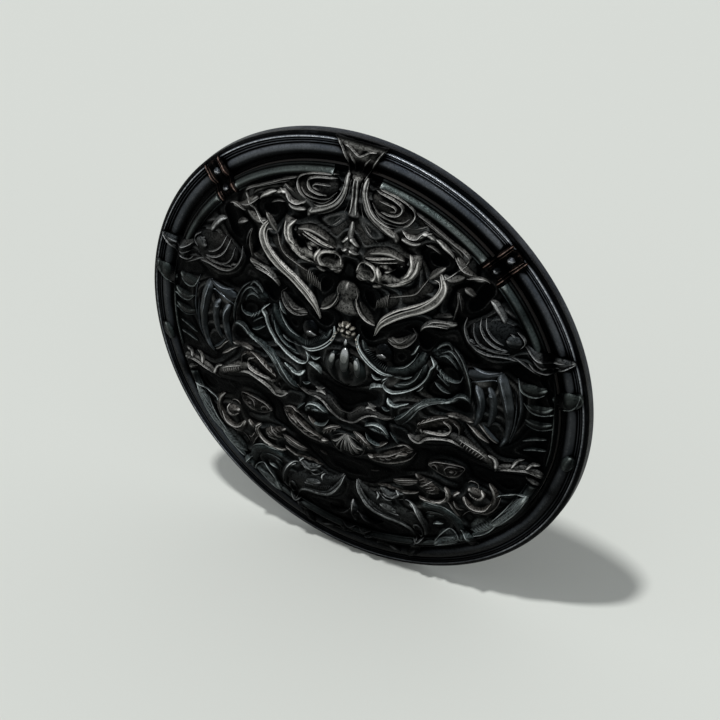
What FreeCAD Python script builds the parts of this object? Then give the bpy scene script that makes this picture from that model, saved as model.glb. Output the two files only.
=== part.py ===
import FreeCAD, Part
import math
import os
import re
import Sketcher

# Round embossed shield. Millimetres. +Z is up, the face looks towards -Y, and the origin is on the
# shield's axis in the plane of the rim's back. Heights on the face are measured forwards (-Y) from the
# plane of the rim's front.

os.makedirs("parts", exist_ok=True)
doc = FreeCAD.newDocument("shield")
sheet = doc.addObject("Spreadsheet::Sheet", "sizes")

driving_sizes = [
    # disc and layers
    ("disc_radius", 285.0),
    ("rim_depth", 13.0),
    ("dome_rise", 37.0),
    ("face_sheet_thickness", 1.2),
    ("core_thickness", 7.0),
    ("lining_thickness", 1.5),
    ("layer_gap", 0.2),
    # hoop round the edge
    ("hoop_wall", 2.2),
    ("hoop_flange", 2.0),
    ("hoop_flange_width", 30.0),
    ("hoop_lip_width", 33.0),
    ("lip_underside", 0.6),
    ("channel_height", 2.5),
    ("channel_width", 5.0),
    ("roll_width", 14.5),
    ("roll_radius", 9.6),
    ("bead_width", 4.0),
    ("bead_radius", 2.4),
    ("bead_foot_height", 1.0),
    ("edge_chamfer", 1.4),
    # thick edge of the board
    ("bolster_width", 37.0),
    ("bolster_slope", 16.0),
    # raised moulding inside the hoop
    ("moulding_gap", 0.6),
    ("moulding_width", 15.4),
    ("moulding_tall", 5.8),
    ("moulding_low", 3.4),
    ("moulding_second", 4.6),
    ("moulding_lip", 1.6),
    # bearings of the moulding's pieces, from the top
    ("top_from_degrees", 7.0),
    ("top_to_degrees", 40.0),
    ("side_from_degrees", 48.0),
    ("side_to_degrees", 73.0),
    ("bottom_from_degrees", 112.0),
    ("bottom_to_degrees", 180.0),
    # nails in the hoop
    ("nail_count", 16.0),
    ("nail_inset", 17.0),
    ("nail_radius", 1.5),
    ("nail_head_radius", 3.2),
    ("nail_head_depth", 1.4),
    ("nail_length", 8.0),
    ("nail_gap", 0.1),
    # applied ornament
    ("seat_gap", 0.3),
    ("main_relief", 9.0),
    ("mask_relief", 8.0),
    ("scroll_relief", 7.0),
    ("leaf_relief", 7.5),
    ("line_relief", 5.0),
    ("nose_relief", 9.4),
    ("eye_relief", 7.0),
    ("clasp_relief", 6.0),
    ("cell_relief", 4.0),
    ("stud_radius", 4.2),
    ("stud_relief", 4.5),
    ("stud_sink", 1.5),
    ("clasp_degrees", 44.0),
    # carrying gear behind
    ("gear_gap", 0.3),
    ("moving_gap", 0.3),
    ("arm_place", 75.0),
    ("strap_width", 36.0),
    ("strap_thickness", 3.0),
    ("strap_top", 39.5),
    ("strap_turn", 40.0),
    ("strap_foot_in", 78.0),
    ("strap_foot_out", 104.0),
    ("long_strap_end", 52.0),
    ("buckle_place", 14.0),
    ("buckle_lift", 1.0),
    ("buckle_length", 34.0),
    ("buckle_wire", 2.0),
    ("buckle_side_room", 1.0),
    ("pin_gap", 0.08),
    ("tongue_width", 4.6),
    ("tongue_thickness", 2.6),
    ("tongue_wall", 1.9),
    ("tongue_overhang", 3.2),
    ("tongue_room", 1.0),
    ("eyelet_wall", 2.4),
    ("strap_rise_length", 6.0),
    ("strap_level_length", 5.0),
    ("strap_down_length", 12.0),
    ("doubled_length", 30.0),
    ("slot_before", 26.0),
    ("slot_after", 2.5),
    ("keeper_place", 26.0),
    ("keeper_width", 10.0),
    ("keeper_wall", 1.6),
    ("pad_centre", 50.0),
    ("pad_length", 150.0),
    ("pad_width", 112.0),
    ("pad_corner", 22.0),
    ("pad_crown", 14.0),
    ("pad_edge", 6.0),
    ("grip_place", -110.0),
    ("grip_lift", 16.0),
    ("grip_half", 50.0),
    ("grip_bar_width", 18.0),
    ("grip_bar_thickness", 3.0),
    ("grip_foot_in", 62.0),
    ("grip_foot_out", 90.0),
    ("wrap_radius", 12.0),
    ("wrap_belly", 1.8),
    ("wrap_half", 46.0),
    ("wrap_gap", 0.2),
    ("rivet_radius", 1.8),
    ("rivet_head_radius", 4.4),
    ("rivet_head_height", 2.4),
    ("rivet_depth", 5.0),
    ("rivet_spacing", 10.0),
    ("rivet_gap", 0.1),
    ("rivet_end_gap", 0.3),
    ("ring_inset", 27.0),
    ("ring_radius", 19.0),
    ("ring_wire", 2.0),
    ("ring_slack", 0.6),
    ("staple_wire", 1.9),
    ("staple_plate_length", 46.0),
    ("staple_plate_width", 15.0),
    ("staple_plate_thickness", 1.8),
    ("overrun", 3.0),
]
for row, (name, amount) in enumerate(driving_sizes, start=1):
    sheet.set(f"A{row}", name)
    sheet.set(f"B{row}", str(amount))
    sheet.setAlias(f"B{row}", name)
doc.recompute()


class Sizes:
    pass


size = Sizes()
for name, amount in driving_sizes:
    setattr(size, name, float(sheet.get(name)))

nodes = {}
size_names = [name for name, amount in driving_sizes]
axis_x = FreeCAD.Vector(1, 0, 0)
axis_y = FreeCAD.Vector(0, 1, 0)
axis_z = FreeCAD.Vector(0, 0, 1)


def worked_out(text):
    return float(sheet.evalExpression(text))


def of_sheet(text):
    # the same sum with each size named as a cell of the sheet, for use outside it
    words = re.findall(r"[a-z_]+|[^a-z_]+", text)
    return "".join("sizes." + word if word in size_names else word for word in words)


# The face is part of a ball that meets the plane of the rim's front at the disc's edge
ball_text = "((disc_radius^2 + dome_rise^2) / (2 * dome_rise))"
face_ball = worked_out(ball_text)


def ball_under(under_text):
    return "(" + ball_text + " - " + under_text + ")"


def ground_text(radius_text, under_text="0"):
    inside = ball_under(under_text)
    return "(sqrt(" + inside + "^2 - (" + radius_text + ")^2) - " + ball_text + " + dome_rise)"


def ground(radius, under=0):
    return math.sqrt((face_ball - under)**2 - radius**2) - face_ball + size.dome_rise


def keep(label, thing):
    thing.Label = label
    nodes[label] = thing
    return thing


def drawn_sketch(body, name, outline):
    # outline rows: radius, height above the rim's front plane, radius of the arc that leads to the
    # next row or None, and which way that arc swells (1 forwards, -1 backwards)
    sketch = body.newObject("Sketcher::SketchObject", name)
    planes = {feature.Role: feature for feature in body.Origin.OriginFeatures}
    sketch.AttachmentSupport = (planes["XY_Plane"], [""])
    sketch.MapMode = "FlatFace"
    spots = []
    for radius_text, height_text, arc_text, swell in outline:
        across = worked_out(radius_text)
        along = -worked_out("rim_depth + " + height_text)
        spots.append(FreeCAD.Vector(across, along, 0))
    count = len(spots)
    for index, (radius_text, height_text, arc_text, swell) in enumerate(outline):
        start = spots[index]
        end = spots[(index + 1) % count]
        if arc_text is None:
            sketch.addGeometry(Part.LineSegment(start, end), False)
        else:
            bend = worked_out(arc_text)
            middle = (start + end) * 0.5
            half = (end - start).Length / 2
            rise = bend - math.sqrt(bend**2 - half**2)
            away = (end - start).cross(FreeCAD.Vector(0, 0, 1)).normalize()
            if away.y * swell > 0:
                away = -away
            if (end - start).cross(away).z > 0:
                start, end = end, start
            sketch.addGeometry(Part.Arc(start, middle + away * rise, end), False)
    starts = []
    for index, (radius_text, height_text, arc_text, swell) in enumerate(outline):
        first = 1
        if arc_text is not None:
            begin = sketch.Geometry[index].StartPoint
            if (begin - spots[index]).Length > (begin - spots[(index + 1) % count]).Length:
                first = 2
        starts.append(first)
    for index in range(count):
        following = (index + 1) % count
        sketch.addConstraint(Sketcher.Constraint(
            "Coincident", index, 3 - starts[index], following, starts[following]))
    for index, (radius_text, height_text, arc_text, swell) in enumerate(outline):
        if radius_text == "0":
            sketch.addConstraint(Sketcher.Constraint("PointOnObject", index, starts[index], -2))
        else:
            place = sketch.addConstraint(Sketcher.Constraint(
                "DistanceX", -1, 1, index, starts[index], spots[index].x))
            sketch.setExpression(f"Constraints[{place}]", of_sheet(radius_text))
        place = sketch.addConstraint(Sketcher.Constraint(
            "DistanceY", -1, 1, index, starts[index], spots[index].y))
        sketch.setExpression(f"Constraints[{place}]", of_sheet("-(rim_depth + " + height_text + ")"))
        if arc_text is not None:
            place = sketch.addConstraint(Sketcher.Constraint("Radius", index, worked_out(arc_text)))
            sketch.setExpression(f"Constraints[{place}]", of_sheet(arc_text))
    return sketch


def turned_body(label, outline, sweep_text="360", bearing=90):
    # a body turned about the shield's axis, from a bearing clockwise as seen from the front
    body = doc.addObject("PartDesign::Body", label)
    sketch = drawn_sketch(body, label + "_outline", outline)
    turn = body.newObject("PartDesign::Revolution", label + "_turned")
    turn.Profile = sketch
    turn.ReferenceAxis = (sketch, ["V_Axis"])
    turn.setExpression("Angle", of_sheet(sweep_text))
    turn.Reversed = False
    sketch.Visibility = False
    body.Placement = FreeCAD.Placement(FreeCAD.Vector(), FreeCAD.Rotation(axis_y, bearing - 90))
    doc.recompute()
    return body


def feature(label, shape):
    thing = doc.addObject("Part::Feature", label)
    thing.Shape = shape
    thing.Placement = FreeCAD.Placement()
    return thing


def less(label, base, tool_shape):
    # a piece with holes cut in it
    tool = feature(label + "_holes", tool_shape)
    cut = doc.addObject("Part::Cut", label + "_drilled")
    cut.Base = base
    cut.Tool = tool
    doc.recompute()
    return cut


def joined(shapes):
    whole = shapes[0]
    if len(shapes) > 1:
        whole = shapes[0].fuse(shapes[1:])
    return whole


def outward(solid):
    if solid.Volume < 0:
        solid.reverse()
    return solid


def cap_radius(half_width, height):
    # the ball whose cap has this half width and height
    return (half_width**2 + height**2) / (2 * height)


def upright_edges(shape):
    found = []
    for edge in shape.Edges:
        run = edge.Vertexes[-1].Point - edge.Vertexes[0].Point
        if abs(run.z) > abs(run.x) + abs(run.y):
            found.append(edge)
    return found


# The board, its coverings and the hoop

under_sheet_text = "(face_sheet_thickness + layer_gap)"
under_board_text = "(face_sheet_thickness + layer_gap + core_thickness)"
board_front_text = "(disc_radius - hoop_lip_width - layer_gap)"
board_outer_text = "(disc_radius - hoop_wall - layer_gap)"
board_back_text = "(hoop_flange + layer_gap - rim_depth)"
bolster_outer_text = "(disc_radius - bolster_width)"
bolster_inner_text = "(disc_radius - bolster_width - bolster_slope)"


def board_outline():
    return [
        ("0", ground_text("0", under_sheet_text), ball_under(under_sheet_text), 1),
        (board_front_text, ground_text(board_front_text, under_sheet_text), None, 0),
        (board_front_text, "(-lip_underside - layer_gap)", None, 0),
        (board_outer_text, "(-lip_underside - layer_gap)", None, 0),
        (board_outer_text, board_back_text, None, 0),
        (bolster_outer_text, board_back_text, None, 0),
        (bolster_inner_text, ground_text(bolster_inner_text, under_board_text),
         ball_under(under_board_text), 1),
        ("0", ground_text("0", under_board_text), None, 0),
    ]


def lining_outline():
    front = "(" + under_board_text + " + layer_gap)"
    back = "(" + front + " + lining_thickness)"
    inner_in = "(" + bolster_inner_text + " - layer_gap)"
    slope_in = "(" + bolster_outer_text + " - layer_gap)"
    back_in = "(" + bolster_inner_text + " - layer_gap - lining_thickness)"
    slope_back = "(" + bolster_outer_text + " - layer_gap - lining_thickness)"
    rim_edge = "(disc_radius - hoop_flange_width - layer_gap)"
    flat_front = "(" + board_back_text + " - layer_gap)"
    flat_back = "(" + flat_front + " - lining_thickness)"
    return [
        ("0", ground_text("0", front), ball_under(front), 1),
        (inner_in, ground_text(inner_in, front), None, 0),
        (slope_in, flat_front, None, 0),
        (rim_edge, flat_front, None, 0),
        (rim_edge, flat_back, None, 0),
        (slope_back, flat_back, None, 0),
        (back_in, ground_text(back_in, back), ball_under(back), 1),
        ("0", ground_text("0", back), None, 0),
    ]


def sheet_outline():
    return [
        ("0", ground_text("0"), ball_text, 1),
        (board_front_text, ground_text(board_front_text), None, 0),
        (board_front_text, ground_text(board_front_text, "face_sheet_thickness"),
         ball_under("face_sheet_thickness"), 1),
        ("0", ground_text("0", "face_sheet_thickness"), None, 0),
    ]


def hoop_outline():
    lip_in = "(disc_radius - hoop_lip_width)"
    roll_in = "(" + lip_in + " + channel_width)"
    roll_out = "(" + roll_in + " + roll_width)"
    bead_mid = "(" + roll_out + " + bead_width)"
    bead_out = "(" + bead_mid + " + bead_width)"
    wall_in = "(disc_radius - hoop_wall)"
    flange_in = "(disc_radius - hoop_flange_width)"
    return [
        (lip_in, "(-lip_underside)", None, 0),
        (lip_in, "channel_height", None, 0),
        (roll_in, "channel_height", "roll_radius", 1),
        (roll_out, "bead_foot_height", "bead_radius", 1),
        (bead_mid, "bead_foot_height", "bead_radius", 1),
        (bead_out, "bead_foot_height", None, 0),
        ("(disc_radius - edge_chamfer)", "0", None, 0),
        ("disc_radius", "(-edge_chamfer)", None, 0),
        ("disc_radius", "(edge_chamfer - rim_depth)", None, 0),
        ("(disc_radius - edge_chamfer)", "(-rim_depth)", None, 0),
        (flange_in, "(-rim_depth)", None, 0),
        (flange_in, "(hoop_flange - rim_depth)", None, 0),
        (wall_in, "(hoop_flange - rim_depth)", None, 0),
        (wall_in, "(-lip_underside)", None, 0),
    ]


# Points of the moulding, inner edge first: share of its width, and the size that is its height there
moulding_shares = [
    (1, "seat_gap"), (1, "moulding_low"), (0.84, "moulding_tall"), (0.61, "moulding_low"),
    (0.38, "moulding_second"), (0, "moulding_lip"), (0, "seat_gap")]


def moulding_outline():
    rows = []
    for share, height in moulding_shares:
        radius = "(disc_radius - hoop_lip_width - moulding_gap - moulding_width * " + str(share) + ")"
        rows.append((radius, "(" + ground_text(radius) + " + " + height + ")", None, 0))
    return rows


board = turned_body("board", board_outline())
lining = turned_body("lining", lining_outline())
hoop = turned_body("hoop", hoop_outline())
keep("face_sheet", turned_body("sheet_body", sheet_outline()))

moulding_pieces = [
    ("moulding_top", "top_from_degrees", "top_to_degrees"),
    ("moulding_side", "side_from_degrees", "side_to_degrees"),
    ("moulding_bottom", "bottom_from_degrees", "bottom_to_degrees"),
]
for name, first, last in moulding_pieces:
    begin = getattr(size, first)
    end = getattr(size, last)
    span = last + " - " + first
    right_piece = turned_body(name + "_right_body", moulding_outline(), span, begin)
    left_piece = turned_body(name + "_left_body", moulding_outline(), span, -end)
    both = doc.addObject("Part::Compound", name + "_both")
    both.Links = [right_piece, left_piece]
    doc.recompute()
    keep(name + "s", both)


# Applied ornament, drawn in equal steps from the shield's axis: field_share of them reach the inner edge
# of the moulding and edge_share the disc's edge. A stroke is a raised ribbon that follows the dome. Its
# table has a row for each point: across, up and width in steps, and the share of the piece's relief.

edge_share = 285
field_share = 236
field_radius = size.disc_radius - size.hoop_lip_width - size.moulding_gap - size.moulding_width
field_step = field_radius / field_share
rim_step = (size.disc_radius - field_radius) / (edge_share - field_share)
roll_fall = math.sqrt(size.roll_radius**2 - (size.roll_width / 2)**2)
hoop_top = (size.channel_height + size.bead_foot_height) / 2 + size.roll_radius - roll_fall
keel_shares = [(-0.5, 0.4), (-0.28, 0.8), (0, 1), (0.28, 0.8), (0.5, 0.4)]
band_shares = [(-0.5, 0.55), (-0.36, 0.95), (0, 1), (0.36, 0.95), (0.5, 0.55)]
base_shares = [0.5, 0.25, 0, -0.25, -0.5]


def drawn_scale(across, up):
    # the length of a step here: the field and the rim each keep to their own width
    steps_out = math.hypot(across, up)
    if steps_out <= field_share:
        return field_step
    return (field_radius + rim_step * (steps_out - field_share)) / steps_out


def on_face(across, up, above, scale=field_step):
    # a point of the drawing, this high above the ornament's seat
    seat = max(ground(math.hypot(across, up) * scale), hoop_top) + size.seat_gap
    return FreeCAD.Vector(across * scale, -(size.rim_depth + seat + above), up * scale)


def stroke(table_shares, relief, side=1, crown_shares=keel_shares):
    rows = [(side * across, up, width, rise * relief) for across, up, width, rise in table_shares]
    rings = []
    for index, (across, up, width, rise) in enumerate(rows):
        before = rows[max(index - 1, 0)]
        after = rows[min(index + 1, len(rows) - 1)]
        run = FreeCAD.Vector(after[0] - before[0], after[1] - before[1], 0).normalize() * width
        scale = drawn_scale(across, up)
        top = [on_face(across - run.y * share, up + run.x * share, rise * high, scale)
               for share, high in crown_shares]
        base = [on_face(across - run.y * share, up + run.x * share, 0, scale) for share in base_shares]
        corners = top + base
        rings.append(Part.makePolygon(corners + corners[:1]))
    return outward(Part.makeLoft(rings, True, True))


spiral_steps = 10
spiral_narrowing_share = 1 / 3
spiral_sinking_share = 1 / 5


def volute(across, up, outer, inner, turns, start, hand, width, squash_share=1):
    # rows of a spiral that winds inwards: start is the bearing of its outer end in degrees, and hand
    # is 1 for clockwise
    count = int(turns * spiral_steps)
    rows = []
    for index in range(count + 1):
        share = index / count
        reach = outer + (inner - outer) * share
        bearing = math.radians(start + hand * 360 * turns * share)
        rows.append((
            across + reach * math.sin(bearing),
            up + reach * math.cos(bearing) * squash_share,
            width * (1 - share * spiral_narrowing_share),
            1 - share * spiral_sinking_share))
    return rows


def triangle(first, second, third):
    return Part.Face(Part.makePolygon([first, second, third, first]))


def lump(rings, base_centre, top_centre):
    # a closed solid from rings of points, with a point in the middle of each end
    faces = []
    count = len(rings[0])
    for lower, upper in zip(rings, rings[1:]):
        for index in range(count):
            following = (index + 1) % count
            faces.append(triangle(lower[index], lower[following], upper[following]))
            faces.append(triangle(lower[index], upper[following], upper[index]))
    for ring, centre in ((rings[0], base_centre), (rings[-1], top_centre)):
        for index in range(count):
            faces.append(triangle(centre, ring[index], ring[(index + 1) % count]))
    return outward(Part.makeSolid(Part.makeShell(faces)))


boss_rings = 4
boss_corners = 14
boss_top_share = 0.92


def boss(across, up, half_width, half_height, rise, side=1):
    # a low rounded lump, from rings that shrink towards its top
    rings = []
    for level in range(boss_rings + 1):
        lean = math.pi / 2 * boss_top_share * level / boss_rings
        reach = math.cos(lean)
        corners = []
        for corner in range(boss_corners):
            turn = 2 * math.pi * corner / boss_corners
            x = side * across + half_width * reach * math.cos(turn)
            z = up + half_height * reach * math.sin(turn)
            corners.append(on_face(x, z, rise * math.sin(lean)))
        rings.append(corners)
    return lump(rings, on_face(side * across, up, 0), on_face(side * across, up, rise))


finial_shares = [
    (0, 282, 54, 0.7), (0, 268, 40, 0.8), (0, 258, 30, 0.85), (0, 243, 24, 0.9), (0, 239, 15, 1),
    (0, 202, 15, 1), (0, 190, 38, 0.8), (0, 179, 84, 0.7), (0, 170, 112, 0.55)]
finial_ridge_shares = [(0, 184, 14, 1), (0, 168, 20, 1), (0, 152, 10, 0.8)]
neck_shares = [
    (17, 240, 5, 0.6), (13.5, 226, 7, 1), (15.5, 213, 7, 1), (25, 204, 7, 1), (40, 197, 7, 1),
    (56, 191, 8, 0.9), (74, 187, 6, 0.6)]
frame_shares = [
    (76, 215, 4, 0.7), (88, 211, 6, 1), (101, 205, 6, 1), (118, 195, 6, 1), (132, 184, 6, 1),
    (128, 171, 6, 1), (118, 158, 4, 0.7)]
crown_scroll_shares = [
    (66, 197, 4, 0.5), (78, 195, 7, 0.9), (88, 198, 8, 1), (99, 195, 9, 1), (109, 187, 9, 0.9),
    (115, 177, 4, 0.5)]
skull_jaw_shares = [
    (84, 172, 9, 0.6), (85, 158, 14, 0.9), (76, 145, 17, 1), (60, 137, 16, 1), (42, 131, 15, 0.9),
    (24, 129, 14, 0.9), (9, 133, 10, 0.7)]
skull_bridge_shares = [(40, 153, 9, 0.8), (37, 142, 10, 0.9), (38, 131, 12, 0.9)]
skull_lid_shares = [(17, 153, 5, 0.6), (30, 155, 8, 0.8), (44, 158, 8, 0.8), (58, 161, 5, 0.6)]
brow_shares = [
    (104.5, 160, 3, 0.5), (110, 150, 8, 0.8), (110, 138, 11, 1), (103, 126, 12, 1), (89, 115, 12, 1),
    (70, 105, 11, 1), (56, 97, 10, 1), (46, 88, 9, 0.9), (40, 78, 7, 0.8), (37, 67, 3, 0.5)]
forehead_shares = [(0, 121, 20, 0.5), (0, 106, 22, 0.8), (0, 92, 34, 0.8), (0, 82, 52, 0.5)]
socket_inner_shares = [
    (17, 59, 4, 0.5), (18, 48, 6, 0.8), (23, 37, 6, 0.9), (35, 27, 6, 0.9), (50, 20, 6, 0.9),
    (66, 16, 6, 0.9), (84, 12, 5, 0.8)]
socket_outer_shares = [
    (108, 54, 4, 0.5), (108, 42, 7, 0.8), (101, 26, 8, 1), (90, 12, 8, 1), (76, 3, 8, 1),
    (62, -1, 7, 0.8), (52, 3, 4, 0.5)]
eyelid_shares = [(54, 62, 4, 0.5), (65, 60, 6, 1), (76, 65, 6, 1), (84, 75, 4, 0.5)]
nose_bridge_shares = [(0, 42, 12, 0.4), (0, 32, 18, 0.7), (0, 22, 30, 0.9), (0, 14, 40, 0.9)]
wing_tail_shares = [(136, 66, 5, 0.7), (143, 56, 7, 0.9), (147, 44, 7, 0.9), (149, 30, 4, 0.6)]
temple_leaf_shares = [(92, 86, 4, 0.5), (100, 95, 11, 0.9), (112, 101, 13, 1), (128, 105, 5, 0.5)]
ridge_shares = [(72, -46, 10, 0.6), (82, -32, 15, 0.9), (94, -15, 15, 0.9), (104, -4, 9, 0.6)]
lip_half_shares = [(10, -57, 16, 1), (20, -49, 13, 1), (30, -42, 10, 0.9), (42, -41, 8, 0.8),
                   (54, -42, 6, 0.7), (63, -37, 3, 0.5)]
chin_leaf_shares = [(11, -79, 3, 0.5), (21, -86, 11, 1), (31, -94, 3, 0.5)]
cheek_leaf_shares = [
    (32, -110, 5, 0.5), (46, -102, 13, 0.9), (60, -93, 23, 1), (73, -85, 22, 1), (82, -77, 8, 0.6)]
chin_fan_shares = [(0, -86, 14, 0.6), (0, -96, 30, 0.9), (0, -106, 36, 1), (0, -115, 14, 0.7)]
lower_brow_shares = [
    (83, -56, 5, 0.5), (95, -58, 9, 0.8), (108, -51, 11, 1), (122, -45, 12, 1), (138, -47, 14, 1),
    (154, -55, 16, 1), (170, -66, 17, 1), (184, -73, 15, 1), (203, -67, 16, 0.9), (220, -66, 18, 0.9),
    (234, -69, 14, 0.8)]
cheek_volute_leaf_shares = [
    (91, -45, 4, 0.5), (103, -38, 11, 0.8), (116, -32, 15, 0.9), (127, -25, 12, 0.9), (126, -17, 6, 0.8)]
cheek_volute_arc_shares = [
    (122, -17, 5, 0.8), (134, -12, 7, 0.9), (146, -19, 8, 1), (153, -32, 8, 0.9), (157, -43, 4, 0.5)]
almond_shares = [
    (106, -91, 4, 0.4), (115, -91, 15, 0.8), (128, -92, 20, 1), (141, -91, 15, 0.8), (150, -88, 4, 0.4)]
jaw_leaf_shares = [
    (54, -135, 5, 0.5), (71, -129, 11, 0.8), (89, -127, 16, 1), (104, -131, 19, 1), (113, -140, 14, 0.9)]
jaw_arc_shares = [
    (127, -119, 4, 0.5), (129, -132, 7, 0.9), (123, -143, 8, 1), (109, -149, 9, 1), (93, -147, 5, 0.6)]
leaf_body_shares = [
    (16, -158, 12, 0.5), (33, -170, 32, 0.7), (52, -177, 38, 0.8), (69, -185, 34, 0.8),
    (81, -199, 18, 0.7), (85, -212, 5, 0.5)]
leaf_crest_shares = [
    (9, -160, 5, 0.7), (14, -175, 9, 1), (26, -187, 10, 1), (42, -195, 10, 1), (58, -198, 10, 1),
    (70, -202, 9, 1), (78, -209, 7, 0.9), (83, -217, 3, 0.6)]
bottom_arch_shares = [
    (93, -171, 5, 0.5), (104, -163, 12, 0.9), (118, -159, 15, 1), (131, -163, 15, 1),
    (141, -172, 11, 0.9), (146, -180, 4, 0.6)]
corner_shares = [(103, -202, 6, 0.6), (112, -196, 17, 0.9), (122, -189, 16, 0.9), (130, -183, 6, 0.6)]
bud_shares = [(0, -191, 7, 0.6), (0, -202, 16, 1), (0, -213, 12, 0.9), (0, -226, 5, 0.5)]
bud_leaf_shares = [(2, -209, 6, 0.7), (15, -214, 9, 1), (31, -218, 3, 0.5)]
side_tail_shares = [
    (193, 81, 6, 0.8), (181, 77, 8, 0.9), (166, 78, 10, 1), (153, 87, 10, 0.9), (145, 99, 4, 0.5)]
lintel_shares = [(156, 45, 7, 0.7), (167, 46, 11, 1), (184, 48, 9, 0.9), (198, 50, 9, 0.9)]
rib_one_shares = [(163, 44, 8, 0.7), (165, 24, 8, 0.8), (166, 0, 6, 0.6)]
rib_two_shares = [(178, 46, 8, 0.7), (179, 26, 8, 0.8), (181, 6, 6, 0.6)]
column_shares = [
    (199, 52, 12, 0.9), (205, 34, 12, 1), (202, 10, 12, 1), (198, -14, 11, 0.9), (198, -34, 7, 0.6)]
cell_shares = [(268, 41, 20, 0.8), (270, 28, 22, 1), (270, 13, 22, 0.8)]

# Bosses: across, up, half width and half height in steps
nose_ball_shares = (0, 8, 24, 20)
eye_ball_shares = (47, 42, 9, 7)

# The star: how far up it is, and the reach of its points and of the hollows between them
star_points = 8
star_up_share = 60
star_reach_shares = (10, 6.5)
star_top_share = 0.5

# Spirals: across, up, outer and inner reach, turns, start bearing, hand, width, height by width
roundel_spiral_shares = (48, 216, 20, 5, 1.8, 200, 1, 7, 0.55)
wing_spiral_shares = (125, 62, 13, 3, 1.4, 75, -1, 6, 1)
curl_spiral_shares = (40, -69, 15, 4, 1.5, 105, -1, 7, 1)
jaw_spiral_shares = (165, -121, 20, 5, 1.7, 330, 1, 8, 1)
side_spiral_shares = (188, 98, 17, 4, 1.6, 165, -1, 8, 1)

sides = [("right", 1), ("left", -1)]
for word, side in sides:
    keep("skull_" + word, feature("skull_shape_" + word, joined([
        stroke(skull_jaw_shares, size.main_relief, side, band_shares),
        stroke(skull_bridge_shares, size.mask_relief, side, band_shares),
        stroke(skull_lid_shares, size.mask_relief, side)])))
    keep("brow_blade_" + word, feature("brow_" + word, stroke(brow_shares, size.main_relief, side)))
    keep("lower_brow_" + word, feature("lower_" + word, stroke(
        lower_brow_shares, size.main_relief, side, band_shares)))
    keep("bottom_leaf_" + word, feature("leaf_" + word, joined([
        stroke(leaf_body_shares, size.leaf_relief, side, band_shares),
        stroke(leaf_crest_shares, size.main_relief, side)])))

keep("finial", feature("finial_shape", joined([
    stroke(finial_shares, size.mask_relief, 1, band_shares),
    stroke(finial_ridge_shares, size.main_relief)])))
keep("forehead_plate", feature("forehead", stroke(forehead_shares, size.mask_relief, 1, band_shares)))
keep("nose_boss", feature("nose", joined([
    boss(*nose_ball_shares, size.nose_relief),
    stroke(nose_bridge_shares, size.mask_relief, 1, band_shares)])))
lip_shares = [(-across, up, width, rise) for across, up, width, rise in reversed(lip_half_shares)]
lip_shares = lip_shares + [(0, -60, 18, 1)] + lip_half_shares
keep("lip_band", feature("lip", stroke(lip_shares, size.mask_relief)))
keep("chin_fan", feature("chin", stroke(chin_fan_shares, size.leaf_relief, 1, band_shares)))
keep("bottom_bud", feature("bud", joined([
    stroke(bud_shares, size.leaf_relief),
    stroke(bud_leaf_shares, size.line_relief),
    stroke(bud_leaf_shares, size.line_relief, -1)])))


def star(rise):
    rings = []
    for share, above in ((1, 0), (star_top_share, rise)):
        corners = []
        for corner in range(star_points * 2):
            reach = star_reach_shares[corner % 2] * share
            turn = math.pi * corner / star_points
            corners.append(on_face(reach * math.sin(turn), star_up_share + reach * math.cos(turn), above))
        rings.append(corners)
    return lump(rings, on_face(0, star_up_share, 0), on_face(0, star_up_share, rise))


keep("star_rosette", feature("star", star(size.leaf_relief)))


def pair(label, shapes_of_side):
    shapes = [shape for word, side in sides for shape in shapes_of_side(side)]
    return keep(label, feature(label + "_pair", Part.makeCompound(shapes)))


pair("neck_scrolls", lambda side: [stroke(neck_shares, size.scroll_relief, side)])
pair("roundels", lambda side: [stroke(volute(*roundel_spiral_shares), size.scroll_relief, side)])
pair("frame_fillets", lambda side: [stroke(frame_shares, size.line_relief, side)])
pair("crown_scrolls", lambda side: [stroke(crown_scroll_shares, size.leaf_relief, side)])
pair("eye_rims", lambda side: [joined([
    stroke(socket_outer_shares, size.mask_relief, side),
    stroke(socket_inner_shares, size.mask_relief, side)])])
pair("wing_scrolls", lambda side: [joined([
    stroke(volute(*wing_spiral_shares), size.scroll_relief, side),
    stroke(wing_tail_shares, size.scroll_relief, side)])])
pair("eye_bosses", lambda side: [boss(*eye_ball_shares, size.eye_relief, side)])
pair("eyelids", lambda side: [stroke(eyelid_shares, size.line_relief, side)])
pair("temple_leaves", lambda side: [stroke(temple_leaf_shares, size.leaf_relief, side)])
pair("cheek_ridges", lambda side: [stroke(ridge_shares, size.leaf_relief, side, band_shares)])
pair("moustache_curls", lambda side: [stroke(volute(*curl_spiral_shares), size.scroll_relief, side)])
pair("chin_leaves", lambda side: [stroke(chin_leaf_shares, size.leaf_relief, side)])
pair("cheek_leaves", lambda side: [stroke(cheek_leaf_shares, size.leaf_relief, side)])
pair("cheek_volutes", lambda side: [joined([
    stroke(cheek_volute_leaf_shares, size.scroll_relief, side),
    stroke(cheek_volute_arc_shares, size.scroll_relief, side)])])
pair("almond_eyes", lambda side: [stroke(almond_shares, size.eye_relief, side, band_shares)])
pair("jaw_volutes", lambda side: [stroke(volute(*jaw_spiral_shares), size.scroll_relief, side)])
pair("jaw_leaves", lambda side: [joined([
    stroke(jaw_leaf_shares, size.leaf_relief, side),
    stroke(jaw_arc_shares, size.leaf_relief, side)])])
pair("bottom_arches", lambda side: [stroke(bottom_arch_shares, size.leaf_relief, side)])
pair("corner_panels", lambda side: [stroke(corner_shares, size.line_relief, side, band_shares)])
pair("side_scrolls", lambda side: [joined([
    stroke(volute(*side_spiral_shares), size.scroll_relief, side),
    stroke(side_tail_shares, size.scroll_relief, side)])])
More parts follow.
